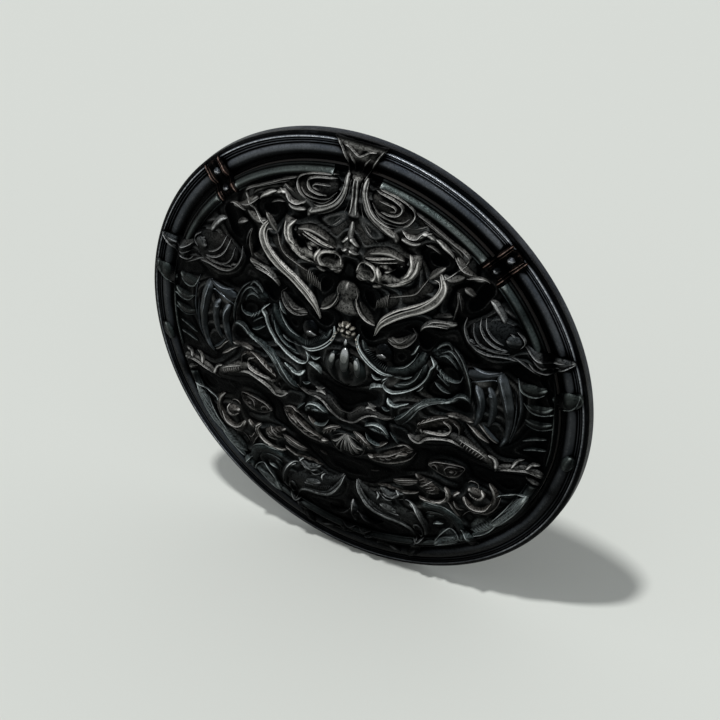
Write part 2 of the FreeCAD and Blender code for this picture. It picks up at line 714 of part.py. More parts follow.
pair("temple_columns", lambda side: [joined([
    stroke(column_shares, size.leaf_relief, side, band_shares),
    stroke(lintel_shares, size.leaf_relief, side, band_shares),
    stroke(rib_one_shares, size.line_relief, side),
    stroke(rib_two_shares, size.line_relief, side)])])
pair("side_cells", lambda side: [stroke(cell_shares, size.cell_relief, side, band_shares)])


# Clasps across the rim, drawn on radial and sideways reaches from the clasp's bearing

def clasp_rows(rows):
    bearing = math.radians(size.clasp_degrees)
    out = []
    for reach, sideways, width, rise in rows:
        out.append((
            reach * math.sin(bearing) + sideways * math.cos(bearing),
            reach * math.cos(bearing) - sideways * math.sin(bearing),
            width, rise))
    return out


clasp_plate_shares = [(239, 0, 20, 0.5), (252, 0, 26, 0.6), (266, 0, 26, 0.6), (280, 0, 20, 0.4)]
clasp_bar_shares = [(240, 0, 4, 0.7), (254, 0, 5, 1), (268, 0, 5, 1), (279, 0, 4, 0.7)]
bar_offset_share = 12
stud_place_shares = [268, 248]


def clasp(side):
    bars = []
    for hand in (-1, 1):
        rows = [(reach, hand * bar_offset_share, width, rise)
                for reach, sideways, width, rise in clasp_bar_shares]
        bars.append(stroke(clasp_rows(rows), size.clasp_relief, side))
    plate = stroke(clasp_rows(clasp_plate_shares), size.clasp_relief, side, band_shares)
    return joined([plate] + bars)


def stud(reach, side):
    across, up, width, rise = clasp_rows([(reach, 0, 0, 0)])[0]
    plate_top = size.clasp_relief * clasp_plate_shares[1][3] + size.seat_gap
    foot = on_face(side * across, up, plate_top - size.stud_sink, drawn_scale(across, up))
    ball_radius = cap_radius(size.stud_radius, size.stud_relief)
    ball = Part.makeSphere(ball_radius, foot + axis_y * (ball_radius - size.stud_relief))
    drum = Part.makeCylinder(size.stud_radius, size.stud_relief, foot, -axis_y)
    return drum.common(ball).cut(clasp(side))


pair("clasps", lambda side: [clasp(side)])
pair("clasp_studs", lambda side: [stud(reach, side) for reach in stud_place_shares])


# Carrying gear on the lining

lining_depth = (size.face_sheet_thickness + size.core_thickness + size.lining_thickness
                + size.layer_gap * 2)
ball_centre = FreeCAD.Vector(0, face_ball - size.dome_rise - size.rim_depth, 0)


def lining_y(x, z):
    return -(size.rim_depth + ground(math.hypot(x, z), lining_depth))


def lining_spot(x, z):
    return FreeCAD.Vector(x, lining_y(x, z), z)


def inward(x, z):
    return (ball_centre - lining_spot(x, z)).normalize()


def strap(centre_x, width, thickness, route):
    # route rows: z, y of the strap's middle or None where it lies on the lining, and whether the strap
    # still leans with the lining there
    onward = 1 if route[-1][0] > route[0][0] else -1
    rings = []
    for index, (z, y, leans) in enumerate(route):
        before = route[max(index - 1, 0)]
        after = route[min(index + 1, len(route) - 1)]
        ends = []
        for spot_z, spot_y, spot_leans in (before, after):
            if spot_y is None:
                spot_y = lining_y(centre_x, spot_z) + size.gear_gap + thickness / 2
            ends.append(FreeCAD.Vector(0, spot_y, spot_z))
        run = (ends[1] - ends[0]).normalize()
        out = FreeCAD.Vector(0, run.z, -run.y) * onward
        corners = []
        for side, level in ((-1, -1), (1, -1), (1, 1), (-1, 1)):
            x = centre_x + side * width / 2
            if y is None:
                low = lining_y(x, z) + size.gear_gap
                corners.append(FreeCAD.Vector(x, low + (level + 1) / 2 * thickness, z))
            else:
                lean = lining_y(x, z) - lining_y(centre_x, z) if leans else 0
                corners.append(FreeCAD.Vector(x, y + lean, z) + out * (level * thickness / 2))
        rings.append(Part.makePolygon(corners + corners[:1]))
    return outward(Part.makeLoft(rings, True, True))


def quarter(z_foot, z_top, y_low, y_top, steps):
    # a quarter of an ellipse from upright at its foot to level at its top
    rows = []
    for index in range(steps + 1):
        turn = math.pi / 2 * index / steps
        z = z_top + (z_foot - z_top) * math.cos(turn)
        rows.append((z, y_low + (y_top - y_low) * math.sin(turn), False))
    return rows


bar_y = size.strap_top + size.buckle_lift
bar_z = size.buckle_place
doubled_thickness = size.eyelet_wall * 2
on_doubled = size.eyelet_wall + size.layer_gap + size.strap_thickness / 2
over_bar = on_doubled + size.buckle_wire + size.moving_gap
foot_bend = size.strap_thickness
seated_share = 3
bend_shares = [(1.9, 0.1), (0.55, 0.7), (0.1, 2.2)]
long_bend_steps = 8
short_bend_steps = 7
grip_bend_steps = 6


def foot_rows(foot_out, foot_in, centre_x, thickness, sign):
    inner = foot_in + foot_bend * seated_share
    rows = [(sign * reach, None, True) for reach in (foot_out, (foot_out + inner) / 2, inner)]
    for along, high in bend_shares:
        reach = foot_in + foot_bend * along
        level = lining_y(centre_x, reach) + size.gear_gap + thickness / 2
        rows.append((sign * reach, level + foot_bend * high, True))
    return rows, level + foot_bend * bend_shares[-1][1] * 2


# The long strap comes up from below, under the buckle's front bar, over its hinge bar and through the keeper
long_foot, long_low = foot_rows(
    size.strap_foot_out, size.strap_foot_in, size.arm_place, size.strap_thickness, -1)
front_z = bar_z - size.buckle_length
long_route = long_foot + quarter(
    -size.strap_foot_in, -size.strap_turn, long_low, size.strap_top, long_bend_steps)
long_route = long_route + [
    (front_z, size.strap_top, False),
    (front_z + size.strap_rise_length, size.strap_top, False),
    (bar_z - size.strap_rise_length, bar_y + over_bar, False),
    (bar_z + size.strap_level_length, bar_y + over_bar, False),
    (bar_z + size.strap_down_length, bar_y + on_doubled, False),
    (size.long_strap_end, bar_y + on_doubled, False)]
long_shape = strap(size.arm_place, size.strap_width, size.strap_thickness, long_route)
slot_width = size.tongue_width + size.tongue_room * 2
slot_low = FreeCAD.Vector(
    size.arm_place - slot_width / 2, size.strap_top - size.overrun, bar_z - size.slot_before)
slot_box = Part.makeBox(slot_width, over_bar + size.strap_thickness + size.overrun * 2,
                        size.slot_before + size.slot_after, slot_low)
long_shape = long_shape.cut(slot_box)

# The short strap comes down from above, and is doubled round the hinge bar
doubled_end = bar_z + size.doubled_length
short_foot, short_low = foot_rows(
    size.strap_foot_out, size.strap_foot_in, size.arm_place, size.strap_thickness, 1)
short_route = short_foot + quarter(size.strap_foot_in, doubled_end, short_low, bar_y, short_bend_steps)
short_route = short_route + [(doubled_end - size.overrun, bar_y, False)]
single = strap(size.arm_place, size.strap_width, size.strap_thickness, short_route)
eyelet_bore = size.buckle_wire + size.moving_gap
eyelet_out = eyelet_bore + size.eyelet_wall
strap_side = size.arm_place - size.strap_width / 2
eyelet = Part.makeCylinder(
    eyelet_out, size.strap_width, FreeCAD.Vector(strap_side, bar_y, bar_z), axis_x)
doubled = Part.makeBox(size.strap_width, doubled_thickness, size.doubled_length,
                       FreeCAD.Vector(strap_side, bar_y - size.eyelet_wall, bar_z))
eyelet_hole = Part.makeCylinder(
    eyelet_bore, size.strap_width + size.overrun * 2,
    FreeCAD.Vector(strap_side - size.overrun, bar_y, bar_z), axis_x)
tongue_out = size.buckle_wire + size.pin_gap + size.tongue_wall
notch_low = FreeCAD.Vector(
    size.arm_place - slot_width / 2, bar_y - eyelet_out - size.overrun, bar_z - eyelet_out)
notch = Part.makeBox(slot_width, eyelet_out * 2 + size.overrun * 2,
                     eyelet_out + tongue_out + size.tongue_room, notch_low)
short_shape = joined([single, doubled, eyelet]).cut(joined([eyelet_hole, notch]))

# The buckle's frame and its tongue

frame_half = size.strap_width / 2 + size.buckle_side_room + size.buckle_wire
front_y = size.strap_top + size.strap_thickness / 2 + size.moving_gap + size.buckle_wire
frame_corners = [
    FreeCAD.Vector(size.arm_place - frame_half, bar_y, bar_z),
    FreeCAD.Vector(size.arm_place + frame_half, bar_y, bar_z),
    FreeCAD.Vector(size.arm_place + frame_half, front_y, front_z),
    FreeCAD.Vector(size.arm_place - frame_half, front_y, front_z)]
frame_parts = []
for index, corner in enumerate(frame_corners):
    following = frame_corners[(index + 1) % len(frame_corners)]
    run = following - corner
    frame_parts.append(Part.makeCylinder(size.buckle_wire, run.Length, corner, run))
    frame_parts.append(Part.makeSphere(size.buckle_wire, corner))
keep("buckle_frame", feature("frame_shape", joined(frame_parts)))

# share of the way to the tongue's tip, and share of its width and thickness there
tongue_shares = [(0.03, 1), (0.75, 1), (1, 0.55)]
tongue_low = FreeCAD.Vector(size.arm_place - size.tongue_width / 2, bar_y, bar_z)
tongue_eye = Part.makeCylinder(tongue_out, size.tongue_width, tongue_low, axis_x)
tip_level = front_y + size.buckle_wire + size.moving_gap + size.tongue_thickness / 2
tip_share = 1 + size.tongue_overhang / size.buckle_length
reach = FreeCAD.Vector(0, tip_level - bar_y, front_z - bar_z) * tip_share
reach_out = FreeCAD.Vector(0, -reach.z, reach.y).normalize()
if reach_out.y < 0:
    reach_out = -reach_out
tongue_rings = []
for share, swell in tongue_shares:
    middle = FreeCAD.Vector(size.arm_place, bar_y, bar_z) + reach * share
    corners = []
    for along, level in ((-1, -1), (1, -1), (1, 1), (-1, 1)):
        corners.append(middle + axis_x * (along * size.tongue_width / 2 * swell)
                       + reach_out * (level * size.tongue_thickness / 2 * swell))
    tongue_rings.append(Part.makePolygon(corners + corners[:1]))
tongue_bar = outward(Part.makeLoft(tongue_rings, True, True))
tongue_hole = Part.makeCylinder(size.buckle_wire + size.pin_gap, size.tongue_width + size.overrun * 2,
                                tongue_low - axis_x * size.overrun, axis_x)
keep("buckle_tongue", feature("tongue_shape", joined([tongue_eye, tongue_bar]).cut(tongue_hole)))

keeper_inside_low = bar_y - size.eyelet_wall - size.layer_gap
keeper_inside_high = bar_y + on_doubled + size.strap_thickness / 2 + size.layer_gap
keeper_half = size.strap_width / 2 + size.layer_gap
keeper_z = bar_z + size.keeper_place - size.keeper_width
keeper_inner_low = FreeCAD.Vector(size.arm_place - keeper_half, keeper_inside_low, keeper_z - size.overrun)
keeper_inner = Part.makeBox(keeper_half * 2, keeper_inside_high - keeper_inside_low,
                            size.keeper_width + size.overrun * 2, keeper_inner_low)
keeper_outer_low = FreeCAD.Vector(
    size.arm_place - keeper_half - size.keeper_wall, keeper_inside_low - size.keeper_wall, keeper_z)
keeper_outer = Part.makeBox((keeper_half + size.keeper_wall) * 2,
                            keeper_inside_high - keeper_inside_low + size.keeper_wall * 2,
                            size.keeper_width, keeper_outer_low)
keeper_outer = keeper_outer.makeFillet(size.keeper_wall / 2, upright_edges(keeper_outer))
keep("strap_keeper", feature("keeper_shape", keeper_outer.cut(keeper_inner)))

# The forearm pad: straight below on the lining, crowned on top, with drawn-in sides

pad_side_shares = [(0.5, 0), (0.8, 0), (1, 0), (1, 0.45), (0.96, 0.8), (0.84, 1)]
pad_top_shares = [0.8, 0.55, 0.25]
pad_corner_steps = 4


def pad_ring(shrink, rise):
    half_long = size.pad_length / 2 * shrink
    half_wide = size.pad_width / 2 * shrink
    corner = size.pad_corner * shrink
    corners = []
    for quadrant in range(4):
        sign_x = 1 if quadrant in (0, 3) else -1
        sign_z = 1 if quadrant in (0, 1) else -1
        for index in range(pad_corner_steps + 1):
            turn = math.pi / 2 * (quadrant + index / pad_corner_steps)
            x = size.pad_centre + sign_x * (half_long - corner) + corner * math.cos(turn)
            z = sign_z * (half_wide - corner) + corner * math.sin(turn)
            corners.append((x, z))
    return [FreeCAD.Vector(x, lining_y(x, z) + size.gear_gap + rise, z) for x, z in corners]


pad_rings = [pad_ring(shrink, size.pad_edge * level) for shrink, level in pad_side_shares]
shoulder_share = pad_side_shares[-1][0]
for share in pad_top_shares:
    rise = size.pad_edge + (size.pad_crown - size.pad_edge) * (1 - share**2)
    pad_rings.append(pad_ring(shoulder_share * share, rise))
pad_middle = FreeCAD.Vector(size.pad_centre, lining_y(size.pad_centre, 0) + size.gear_gap, 0)
keep("arm_pad", feature("pad_shape", lump(
    pad_rings, pad_middle, pad_middle + axis_y * size.pad_crown)))

# The hand grip: an iron bar with its feet on the lining, and a leather cover

grip_foot, grip_low = foot_rows(
    size.grip_foot_out, size.grip_foot_in, size.grip_place, size.grip_bar_thickness, -1)
grip_half_route = grip_foot + quarter(
    -size.grip_foot_in, -size.grip_half, grip_low, size.grip_lift, grip_bend_steps)
grip_route = grip_half_route + [(-z, y, leans) for z, y, leans in reversed(grip_half_route)]
bracket = strap(size.grip_place, size.grip_bar_width, size.grip_bar_thickness, grip_route)
wrap_shares = [-1, -0.6, -0.2, 0.2, 0.6, 1]
wrap_rings = []
for share in wrap_shares:
    reach_radius = size.wrap_radius + size.wrap_belly * (1 - share**2)
    spot = FreeCAD.Vector(size.grip_place, size.grip_lift, size.wrap_half * share)
    wrap_rings.append(Part.Wire(Part.makeCircle(reach_radius, spot, axis_z)))
wrap = outward(Part.makeLoft(wrap_rings, True, False))
wrap_hole_wide = size.grip_bar_width + size.wrap_gap * 2
wrap_hole_deep = size.grip_bar_thickness + size.wrap_gap * 2
wrap_hole_low = FreeCAD.Vector(size.grip_place - wrap_hole_wide / 2, size.grip_lift - wrap_hole_deep / 2,
                               -size.wrap_half - size.overrun)
wrap_hole = Part.makeBox(
    wrap_hole_wide, wrap_hole_deep, size.wrap_half * 2 + size.overrun * 2, wrap_hole_low)
keep("grip_wrap", feature("wrap_shape", wrap.cut(wrap_hole)))

# The hanging ring in its staple

ring_place = size.disc_radius - size.bolster_width - size.bolster_slope - size.ring_inset
staple_reach = size.ring_wire + size.ring_slack + size.staple_wire
staple_spot = lining_spot(0, ring_place)
staple_out = inward(0, ring_place)
# the flat plate clears the hollow lining by a rivet's gap at its ends
staple_lift = size.rivet_gap + (size.staple_plate_length / 2)**2 / (2 * face_ball)
eye_centre = staple_spot + staple_out * (staple_lift + size.staple_plate_thickness + staple_reach)
plate_low = FreeCAD.Vector(-size.staple_plate_length / 2, -size.staple_plate_width / 2, 0)
plate_shape = Part.makeBox(
    size.staple_plate_length, size.staple_plate_width, size.staple_plate_thickness, plate_low)
plate_shape = plate_shape.makeFillet(size.staple_plate_width / 3, upright_edges(plate_shape))
plate_shape.Placement = FreeCAD.Placement(
    staple_spot + staple_out * staple_lift, FreeCAD.Rotation(axis_z, staple_out))
eye_ring = Part.makeTorus(staple_reach, size.staple_wire, eye_centre, axis_x)
staple_shape = joined([plate_shape, eye_ring])
ring_centre = eye_centre - axis_z * size.ring_radius
keep("hanging_ring", feature("ring_shape", Part.makeTorus(
    size.ring_radius, size.ring_wire, ring_centre, axis_y)))

# Rivets through the feet into the board

rivet_spots = []
strap_foot_middle = (size.strap_foot_in + size.strap_foot_out) / 2 + foot_bend
grip_foot_middle = (size.grip_foot_in + size.grip_foot_out) / 2 + foot_bend
plate_end = size.staple_plate_length / 2 - size.rivet_head_radius - size.rivet_gap
strap_bow = (size.strap_width / 2)**2 / (2 * face_ball)
for sign in (-1, 1):
    for offset in (-1, 1):
        foot_x = size.arm_place + offset * size.rivet_spacing
        rivet_spots.append((foot_x, sign * strap_foot_middle, size.strap_thickness))
    rivet_spots.append((size.grip_place, sign * grip_foot_middle, size.grip_bar_thickness))
    rivet_spots.append((sign * plate_end, ring_place, size.staple_plate_thickness))


def rivet(x, z, foot_thickness):
    # a rivet turned about its own axis, set with its head on the foot
    out = inward(x, z)
    rise = size.gear_gap + foot_thickness + size.rivet_gap + strap_bow
    shank_end = -(rise + size.lining_thickness + size.rivet_depth)
    ball_radius = cap_radius(size.rivet_head_radius, size.rivet_head_height)
    half_turn = math.asin(size.rivet_head_radius / ball_radius) / 2
    cap_centre = size.rivet_head_height - ball_radius
    corners = [FreeCAD.Vector(reach, 0, level) for reach, level in (
        (0, size.rivet_head_height), (0, shank_end), (size.rivet_radius, shank_end),
        (size.rivet_radius, 0), (size.rivet_head_radius, 0))]
    shoulder = FreeCAD.Vector(
        ball_radius * math.sin(half_turn), 0, cap_centre + ball_radius * math.cos(half_turn))
    edges = [Part.LineSegment(first, second).toShape() for first, second in zip(corners, corners[1:])]
    edges.append(Part.Arc(corners[-1], shoulder, corners[0]).toShape())
    turned = Part.Face(Part.Wire(edges)).revolve(FreeCAD.Vector(), axis_z, 360)
    turned.Placement = FreeCAD.Placement(
        lining_spot(x, z) + out * rise, FreeCAD.Rotation(axis_z, out))
    return outward(turned)


def rivet_hole(x, z, foot_thickness):
    out = inward(x, z)
    depth = size.lining_thickness + size.rivet_depth + size.rivet_end_gap
    start = lining_spot(x, z) - out * depth
    long_hole = depth + size.gear_gap + foot_thickness + size.overrun
    return Part.makeCylinder(size.rivet_radius + size.rivet_gap, long_hole, start, out)


rivet_holes = Part.makeCompound([rivet_hole(*spot) for spot in rivet_spots])
long_drilled = long_shape.cut(rivet_holes)
short_drilled = short_shape.cut(rivet_holes)
bracket_drilled = bracket.cut(rivet_holes)
keep("strap_rivets", feature("rivet_shapes", Part.makeCompound([rivet(*spot) for spot in rivet_spots])))
keep("strap_long", feature("long_shape", long_drilled))
keep("strap_short", feature("short_shape", short_drilled))
keep("grip_bracket", feature("bracket_shape", bracket_drilled))
keep("ring_staple", feature("staple_shape", staple_shape.cut(rivet_holes)))
keep("leather_lining", less("lining", lining, rivet_holes))

# Flush nails through the hoop's flange

nail_turns = [360 * index / int(size.nail_count) for index in range(int(size.nail_count))]


def nail(turn, gap):
    circle = size.disc_radius - size.nail_inset
    spot = FreeCAD.Vector(circle * math.cos(math.radians(turn)), 0, circle * math.sin(math.radians(turn)))
    head = Part.makeCone(
        size.nail_head_radius + gap, size.nail_radius + gap, size.nail_head_depth, spot, -axis_y)
    shank = Part.makeCylinder(size.nail_radius + gap, size.nail_length + gap, spot, -axis_y)
    return head.fuse(shank)


nail_holes = Part.makeCompound([nail(turn, size.nail_gap) for turn in nail_turns])
keep("rim_nails", feature("nail_shapes", Part.makeCompound([nail(turn, 0) for turn in nail_turns])))
keep("rim_ring", less("hoop", hoop, nail_holes))
keep("wood_core", less("board", board, Part.makeCompound([nail_holes, rivet_holes])))

# Checks, then one file for each node

doc.recompute()
for thing in doc.Objects:
    if "Invalid" in thing.State or "Error" in thing.State:
        raise SystemExit("failed: " + thing.Label)
for label, thing in sorted(nodes.items()):
    shape = thing.Shape
    if shape.isNull() or not shape.isValid() or shape.Volume <= 0:
        raise SystemExit("bad shape: " + label)
    print(label, len(shape.Solids), round(shape.Volume))
    shape.exportStep("parts/" + label + ".step")
print("nodes", len(nodes), "eye", eye_centre, "bar", bar_y, bar_z, "front", front_y, front_z)
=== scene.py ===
import math

import bmesh
import bpy
import numpy as np
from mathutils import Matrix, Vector
from mathutils.bvhtree import BVHTree


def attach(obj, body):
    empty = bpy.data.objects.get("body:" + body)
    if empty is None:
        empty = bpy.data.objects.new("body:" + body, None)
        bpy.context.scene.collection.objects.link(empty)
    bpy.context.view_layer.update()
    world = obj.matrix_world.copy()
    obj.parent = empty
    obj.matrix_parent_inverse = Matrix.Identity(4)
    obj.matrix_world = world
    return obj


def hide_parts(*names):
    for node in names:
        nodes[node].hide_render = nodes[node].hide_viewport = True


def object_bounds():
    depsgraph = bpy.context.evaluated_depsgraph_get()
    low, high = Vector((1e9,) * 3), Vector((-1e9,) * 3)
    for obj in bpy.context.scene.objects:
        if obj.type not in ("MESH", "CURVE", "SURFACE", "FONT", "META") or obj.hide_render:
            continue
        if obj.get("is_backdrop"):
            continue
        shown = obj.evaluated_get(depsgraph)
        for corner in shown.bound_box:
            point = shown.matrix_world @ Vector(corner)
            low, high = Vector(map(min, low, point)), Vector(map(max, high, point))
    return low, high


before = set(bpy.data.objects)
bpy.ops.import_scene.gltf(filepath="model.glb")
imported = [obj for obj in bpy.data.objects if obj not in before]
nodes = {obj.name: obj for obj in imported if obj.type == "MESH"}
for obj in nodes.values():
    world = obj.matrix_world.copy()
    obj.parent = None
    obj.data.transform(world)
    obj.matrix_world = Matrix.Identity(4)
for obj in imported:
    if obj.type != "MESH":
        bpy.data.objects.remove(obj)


def cornersOf(bounds):
    return [list(corner) for corner in bounds]


sizeNotes = {"frame": cornersOf(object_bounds())}

# The disc, in millimetres: heights are measured forwards from the plane of the rim's front
disc = {"radius": 285.0, "rimDepth": 13.0, "rise": 37.0, "hoopTop": 5.06, "foremost": 46.6}
ballRadius = (disc["radius"]**2 + disc["rise"]**2) / (2 * disc["rise"])
noiseTable = np.random.default_rng(11).uniform(-1, 1, (128, 128))


def ground(radius):
    dome = np.sqrt(ballRadius**2 - np.minimum(radius, disc["radius"])**2) - ballRadius + disc["rise"]
    return np.maximum(dome, disc["hoopTop"])


def wobble(across, up, scale, shift=0):
    # smooth noise between -1 and 1 on the drawing
    x = across / scale + 40 + shift
    y = up / scale + 40 + shift * 2
    column = np.floor(x).astype(int)
    row = np.floor(y).astype(int)
    a = x - column
    b = y - row
    a = a * a * (3 - 2 * a)
    b = b * b * (3 - 2 * b)
    corner = lambda i, j: noiseTable[(row + j) % 128, (column + i) % 128]
    low = corner(0, 0) * (1 - a) + corner(1, 0) * a
    high = corner(0, 1) * (1 - a) + corner(1, 1) * a
    return low * (1 - b) + high * b


# The relief is drawn on a flat map in millimetres, across and up, and laid over the dome. A stroke is
# (layer, profile, taper, width, height, points, tone), where a point may carry its own width and the tone,
# from -1 to 1, paints the stroke brighter or darker: partly wear, partly painted highlights and painted
# shade. Later layers lie on what the earlier ones have raised.
reach = 285
mapSide = reach * 2 + 1


def blurred(field, spread):
    # a soft copy of the map
    half = int(spread * 2.5) + 1
    weights = np.exp(-0.5 * (np.arange(-half, half + 1) / spread)**2)
    weights /= weights.sum()
    for axis in (0, 1):
        padded = np.pad(field, [(half, half) if a == axis else (0, 0) for a in (0, 1)], mode="edge")
        total = np.zeros_like(field)
        for index, weight in enumerate(weights):
            window = padded[index:index + mapSide] if axis == 0 else padded[:, index:index + mapSide]
            total += weight * window
        field = total
    return field


def sampled(field, across, up):
    x = np.clip(across + reach, 0, mapSide - 1.001)
    y = np.clip(up + reach, 0, mapSide - 1.001)
    column = np.floor(x).astype(int)
    row = np.floor(y).astype(int)
    a = x - column
    b = y - row
    low = field[row, column] * (1 - a) + field[row, column + 1] * a
    high = field[row + 1, column] * (1 - a) + field[row + 1, column + 1] * a
    return low * (1 - b) + high * b


def denser(grid, times, axis):
    if times < 2:
        return grid
    count = grid.shape[axis]
    spots = np.linspace(0, count - 1, (count - 1) * times + 1)
    low = np.minimum(spots.astype(int), count - 2)
    part = spots - low
    if axis == 0:
        part = part[:, None]
    return np.take(grid, low, axis) * (1 - part) + np.take(grid, low + 1, axis) * part


def stamp(field, across, up, high):
    # raises the map to a sheet of points, and to its mirror image
    for axis in (0, 1):
        gap = np.hypot(np.diff(across, axis=axis), np.diff(up, axis=axis)).max()
        times = int(math.ceil(gap / 0.8))
        across, up, high = (denser(grid, times, axis) for grid in (across, up, high))
    row = np.clip(np.rint(up + reach).astype(int), 0, mapSide - 1)
    for side in (1, -1):
        column = np.clip(np.rint(side * across + reach).astype(int), 0, mapSide - 1)
        np.maximum.at(field, (row, column), high)


def keel(s):
    return 0.12 + 0.88 * (1 - np.abs(s))**0.85


def roundTop(s):
    return np.sqrt(np.maximum(1 - 0.985 * s * s, 0))


def twin(s):
    return np.where(np.abs(s) < 0.5, 0.35 + 0.65 * np.sin(np.pi * np.abs(s)),
        0.1 + 0.9 * np.sin(np.pi * np.abs(s)))


def flute(s):
    return (0.78 + 0.22 * np.cos(s * 9.4)) * roundTop(s)**0.6


def strap(s):
    return np.where(np.abs(s) < 0.72, 0.86 + 0.14 * s * s / 0.52,
        1 - 0.9 * ((np.abs(s) - 0.72) / 0.28)**1.5)


profiles = {"strap": strap, "keel": keel, "round": roundTop, "twin": twin, "flute": flute,
    "rough": roundTop}

tapers = {
    "both": lambda t: np.maximum(np.sin(np.pi * (0.03 + 0.94 * t)), 0)**0.6,
    "start": lambda t: np.sin(np.pi / 2 * (0.06 + 0.94 * t))**0.75 * np.minimum(1, (1.04 - t) / 0.12)**0.5,
    "end": lambda t: np.sin(np.pi / 2 * (1 - 0.94 * t))**0.75 * np.minimum(1, (t + 0.04) / 0.12)**0.5,
    "none": lambda t: np.ones_like(t),
    "oval": lambda t: np.sqrt(np.maximum(1 - (2 * t - 1)**2 * 0.985, 0)),
}


def smoothPath(points, step):
    # a curve through the points, with the width at each as a third number where it is given
    spots = np.array(points, float)
    if len(spots) == 2:
        spots = np.vstack([spots[0], (spots[0] + spots[1]) / 2, spots[1]])
    before = np.vstack([2 * spots[0] - spots[1], spots[:-1]])
    after = np.vstack([spots[1:], 2 * spots[-1] - spots[-2]])
    rows = []
    for index in range(len(spots) - 1):
        first, second = spots[index], spots[index + 1]
        count = max(2, int(np.hypot(*(second - first)[:2]) / step))
        t = np.arange(count)[:, None] / count
        slopeOne = (second - before[index]) / 2
        slopeTwo = (after[index + 1] - first) / 2
        rows.append((2 * t**3 - 3 * t**2 + 1) * first + (t**3 - 2 * t**2 + t) * slopeOne
                    + (3 * t**2 - 2 * t**3) * second + (t**3 - t**2) * slopeTwo)
    rows.append(spots[-1:])
    return np.vstack(rows)


# Hollows sunk into the strokes: across, up, spreads and depth
dents = [(23, 142, 9, 6, 3.6), (46, 134.5, 4, 2.4, 3.0), (29, 130, 7, 2.6, 2.6), (60, 152, 8, 6, 2.0),
    (43, 150, 3, 2, 1.6), (85, -206, 3, 8, 2.5)]
ribbonLook = {"step": 1.6, "fuller": 1.3, "embed": 1.0, "roughness": 0.16, "unevenness": 0.07}


def ribbon(stroke, base):
    # the top of one stroke as a sheet of points: across, up and height above the dome
    layer, profile, taper, width, height, points = stroke[:6]
    path = smoothPath(points, max(ribbonLook["step"], width / 9))
    along = np.linspace(0, 1, len(path))
    envelope = np.maximum(tapers[taper](along), 0.05)
    widths = path[:, 2] if path.shape[1] > 2 else width * envelope
    widths = np.maximum(widths * (ribbonLook["fuller"] if layer == 0 and path.shape[1] < 3 else 1), 0.5)
    run = np.gradient(path[:, :2], axis=0)
    run /= np.maximum(np.hypot(run[:, 0], run[:, 1]), 1e-6)[:, None]
    wide = widths.max()
    count = 7 if wide < 3.4 else 9 if wide < 7 else 13 if wide < 18 else 21
    s = np.sin(np.linspace(-np.pi / 2, np.pi / 2, count))
    s = 0.5 * s + 0.5 * np.linspace(-1, 1, count)
    across = path[:, :1] - run[:, 1:] * s * widths[:, None] / 2
    up = path[:, 1:2] + run[:, :1] * s * widths[:, None] / 2
    if path.shape[1] > 2:
        envelope = (widths / wide)**0.8 * np.sin(np.pi
            * np.clip(0.1 + 0.4 * np.minimum(along, 1 - along) / 0.09, 0, 0.5))
    high = profiles[profile](s)[None, :] * (height * envelope**0.7)[:, None]
    high = high * (1 + ribbonLook["unevenness"] * wobble(across, up, 7))
    if profile == "rough":
        pits = wobble(across, up, 3.1, 5) + 0.7 * wobble(across, up, 1.7, 9)
        high = high + ribbonLook["roughness"] * min(height, 5) * pits * (1 - s**4)
    for x, y, wide, tall, deep in dents:
        high = high - deep * np.exp(-0.5 * (((np.abs(across) - x) / wide)**2 + ((up - y) / tall)**2)**2)
    floor = sampled(base, across, up)
    steps = np.hypot(*np.diff(path[:, :2], axis=0).T)
    run = np.concatenate([[0], np.cumsum(steps)])[:, None] * np.ones_like(across)
    strip = s * widths[:, None] / 2
    tone = np.full_like(across, stroke[6] if len(stroke) > 6 else 0.0)
    shape = profiles[profile](s)
    # the top of the profile, which the finish paints bright: wear on the crest and a painted sheen on round
    # tops
    crest = np.clip(shape / shape.max() * 9 - 8, 0, 1)[None, :] * np.clip(7 / np.maximum(widths, 1), 0.15,
        1)[:, None]
    return across, up, floor + np.maximum(high, 0.1), floor, strip, run + path[0, 0] * 3, tone, crest


def closedRibbon(across, up, high, floor, *marks):
    # corners and faces of the stroke as a closed body, with three rows of points underneath
    rows, columns = across.shape
    under = [columns - 1, columns // 2, 0]
    x, y, *marks = (np.hstack([grid, grid[:, under]]) for grid in (across, up, *marks))
    h = np.hstack([high, np.maximum(floor[:, under] - ribbonLook["embed"], -0.9)])
    columns += 3
    index = np.arange(rows * columns).reshape(rows, columns)
    following = np.roll(index, -1, axis=1)
    quads = np.stack([index[:-1], following[:-1], following[1:], index[1:]], -1).reshape(-1, 4)
    marks = {key: values.ravel() for key, values in zip(("strip", "run", "tone", "crest"), marks)}
    return x.ravel(), y.ravel(), h.ravel(), quads, [index[0][::-1].copy(), index[-1].copy()], marks


def onFace(across, up, high):
    # corners in metres, held behind the foremost point of the nose
    raised = ground(np.hypot(across, up))
    room = disc["foremost"] - raised
    high = np.where(high > room - 2, room - 2 * np.exp(-(high - room + 2) / 2), high)
    return np.stack([across, -(disc["rimDepth"] + raised + high), up], -1) / 1000


def centred(points):
    first, last = points[0], points[-1]
    if all(abs(point[0]) < 0.01 for point in points):
        return True
    return abs(first[0] + last[0]) < 0.01 and abs(first[1] - last[1]) < 0.01 and abs(first[0]) > 0.01


carvings = []


def carve(name, strokes, slot, look=None, sided=False):
    # notes a carved piece; its strokes are drawn on the right and mirrored, and a sided one has two nodes
    carvings.append({"name": name, "strokes": strokes, "slot": slot, "look": look or slot, "sided": sided,
        "parts": []})


def fold(width, height, points, tone=0.0):
    return 1, "keel", "both", width, height, points, tone


def mass(width, height, points, tone=0.0):
    return 0, "round", "none", width, height, points, tone


def spine(width, height, points, tone=0.0):
    return 0, "keel", "both", width, height, points, tone


def crag(width, height, points, tone=0.0):
    return 0, "rough", "none", width, height, points, tone


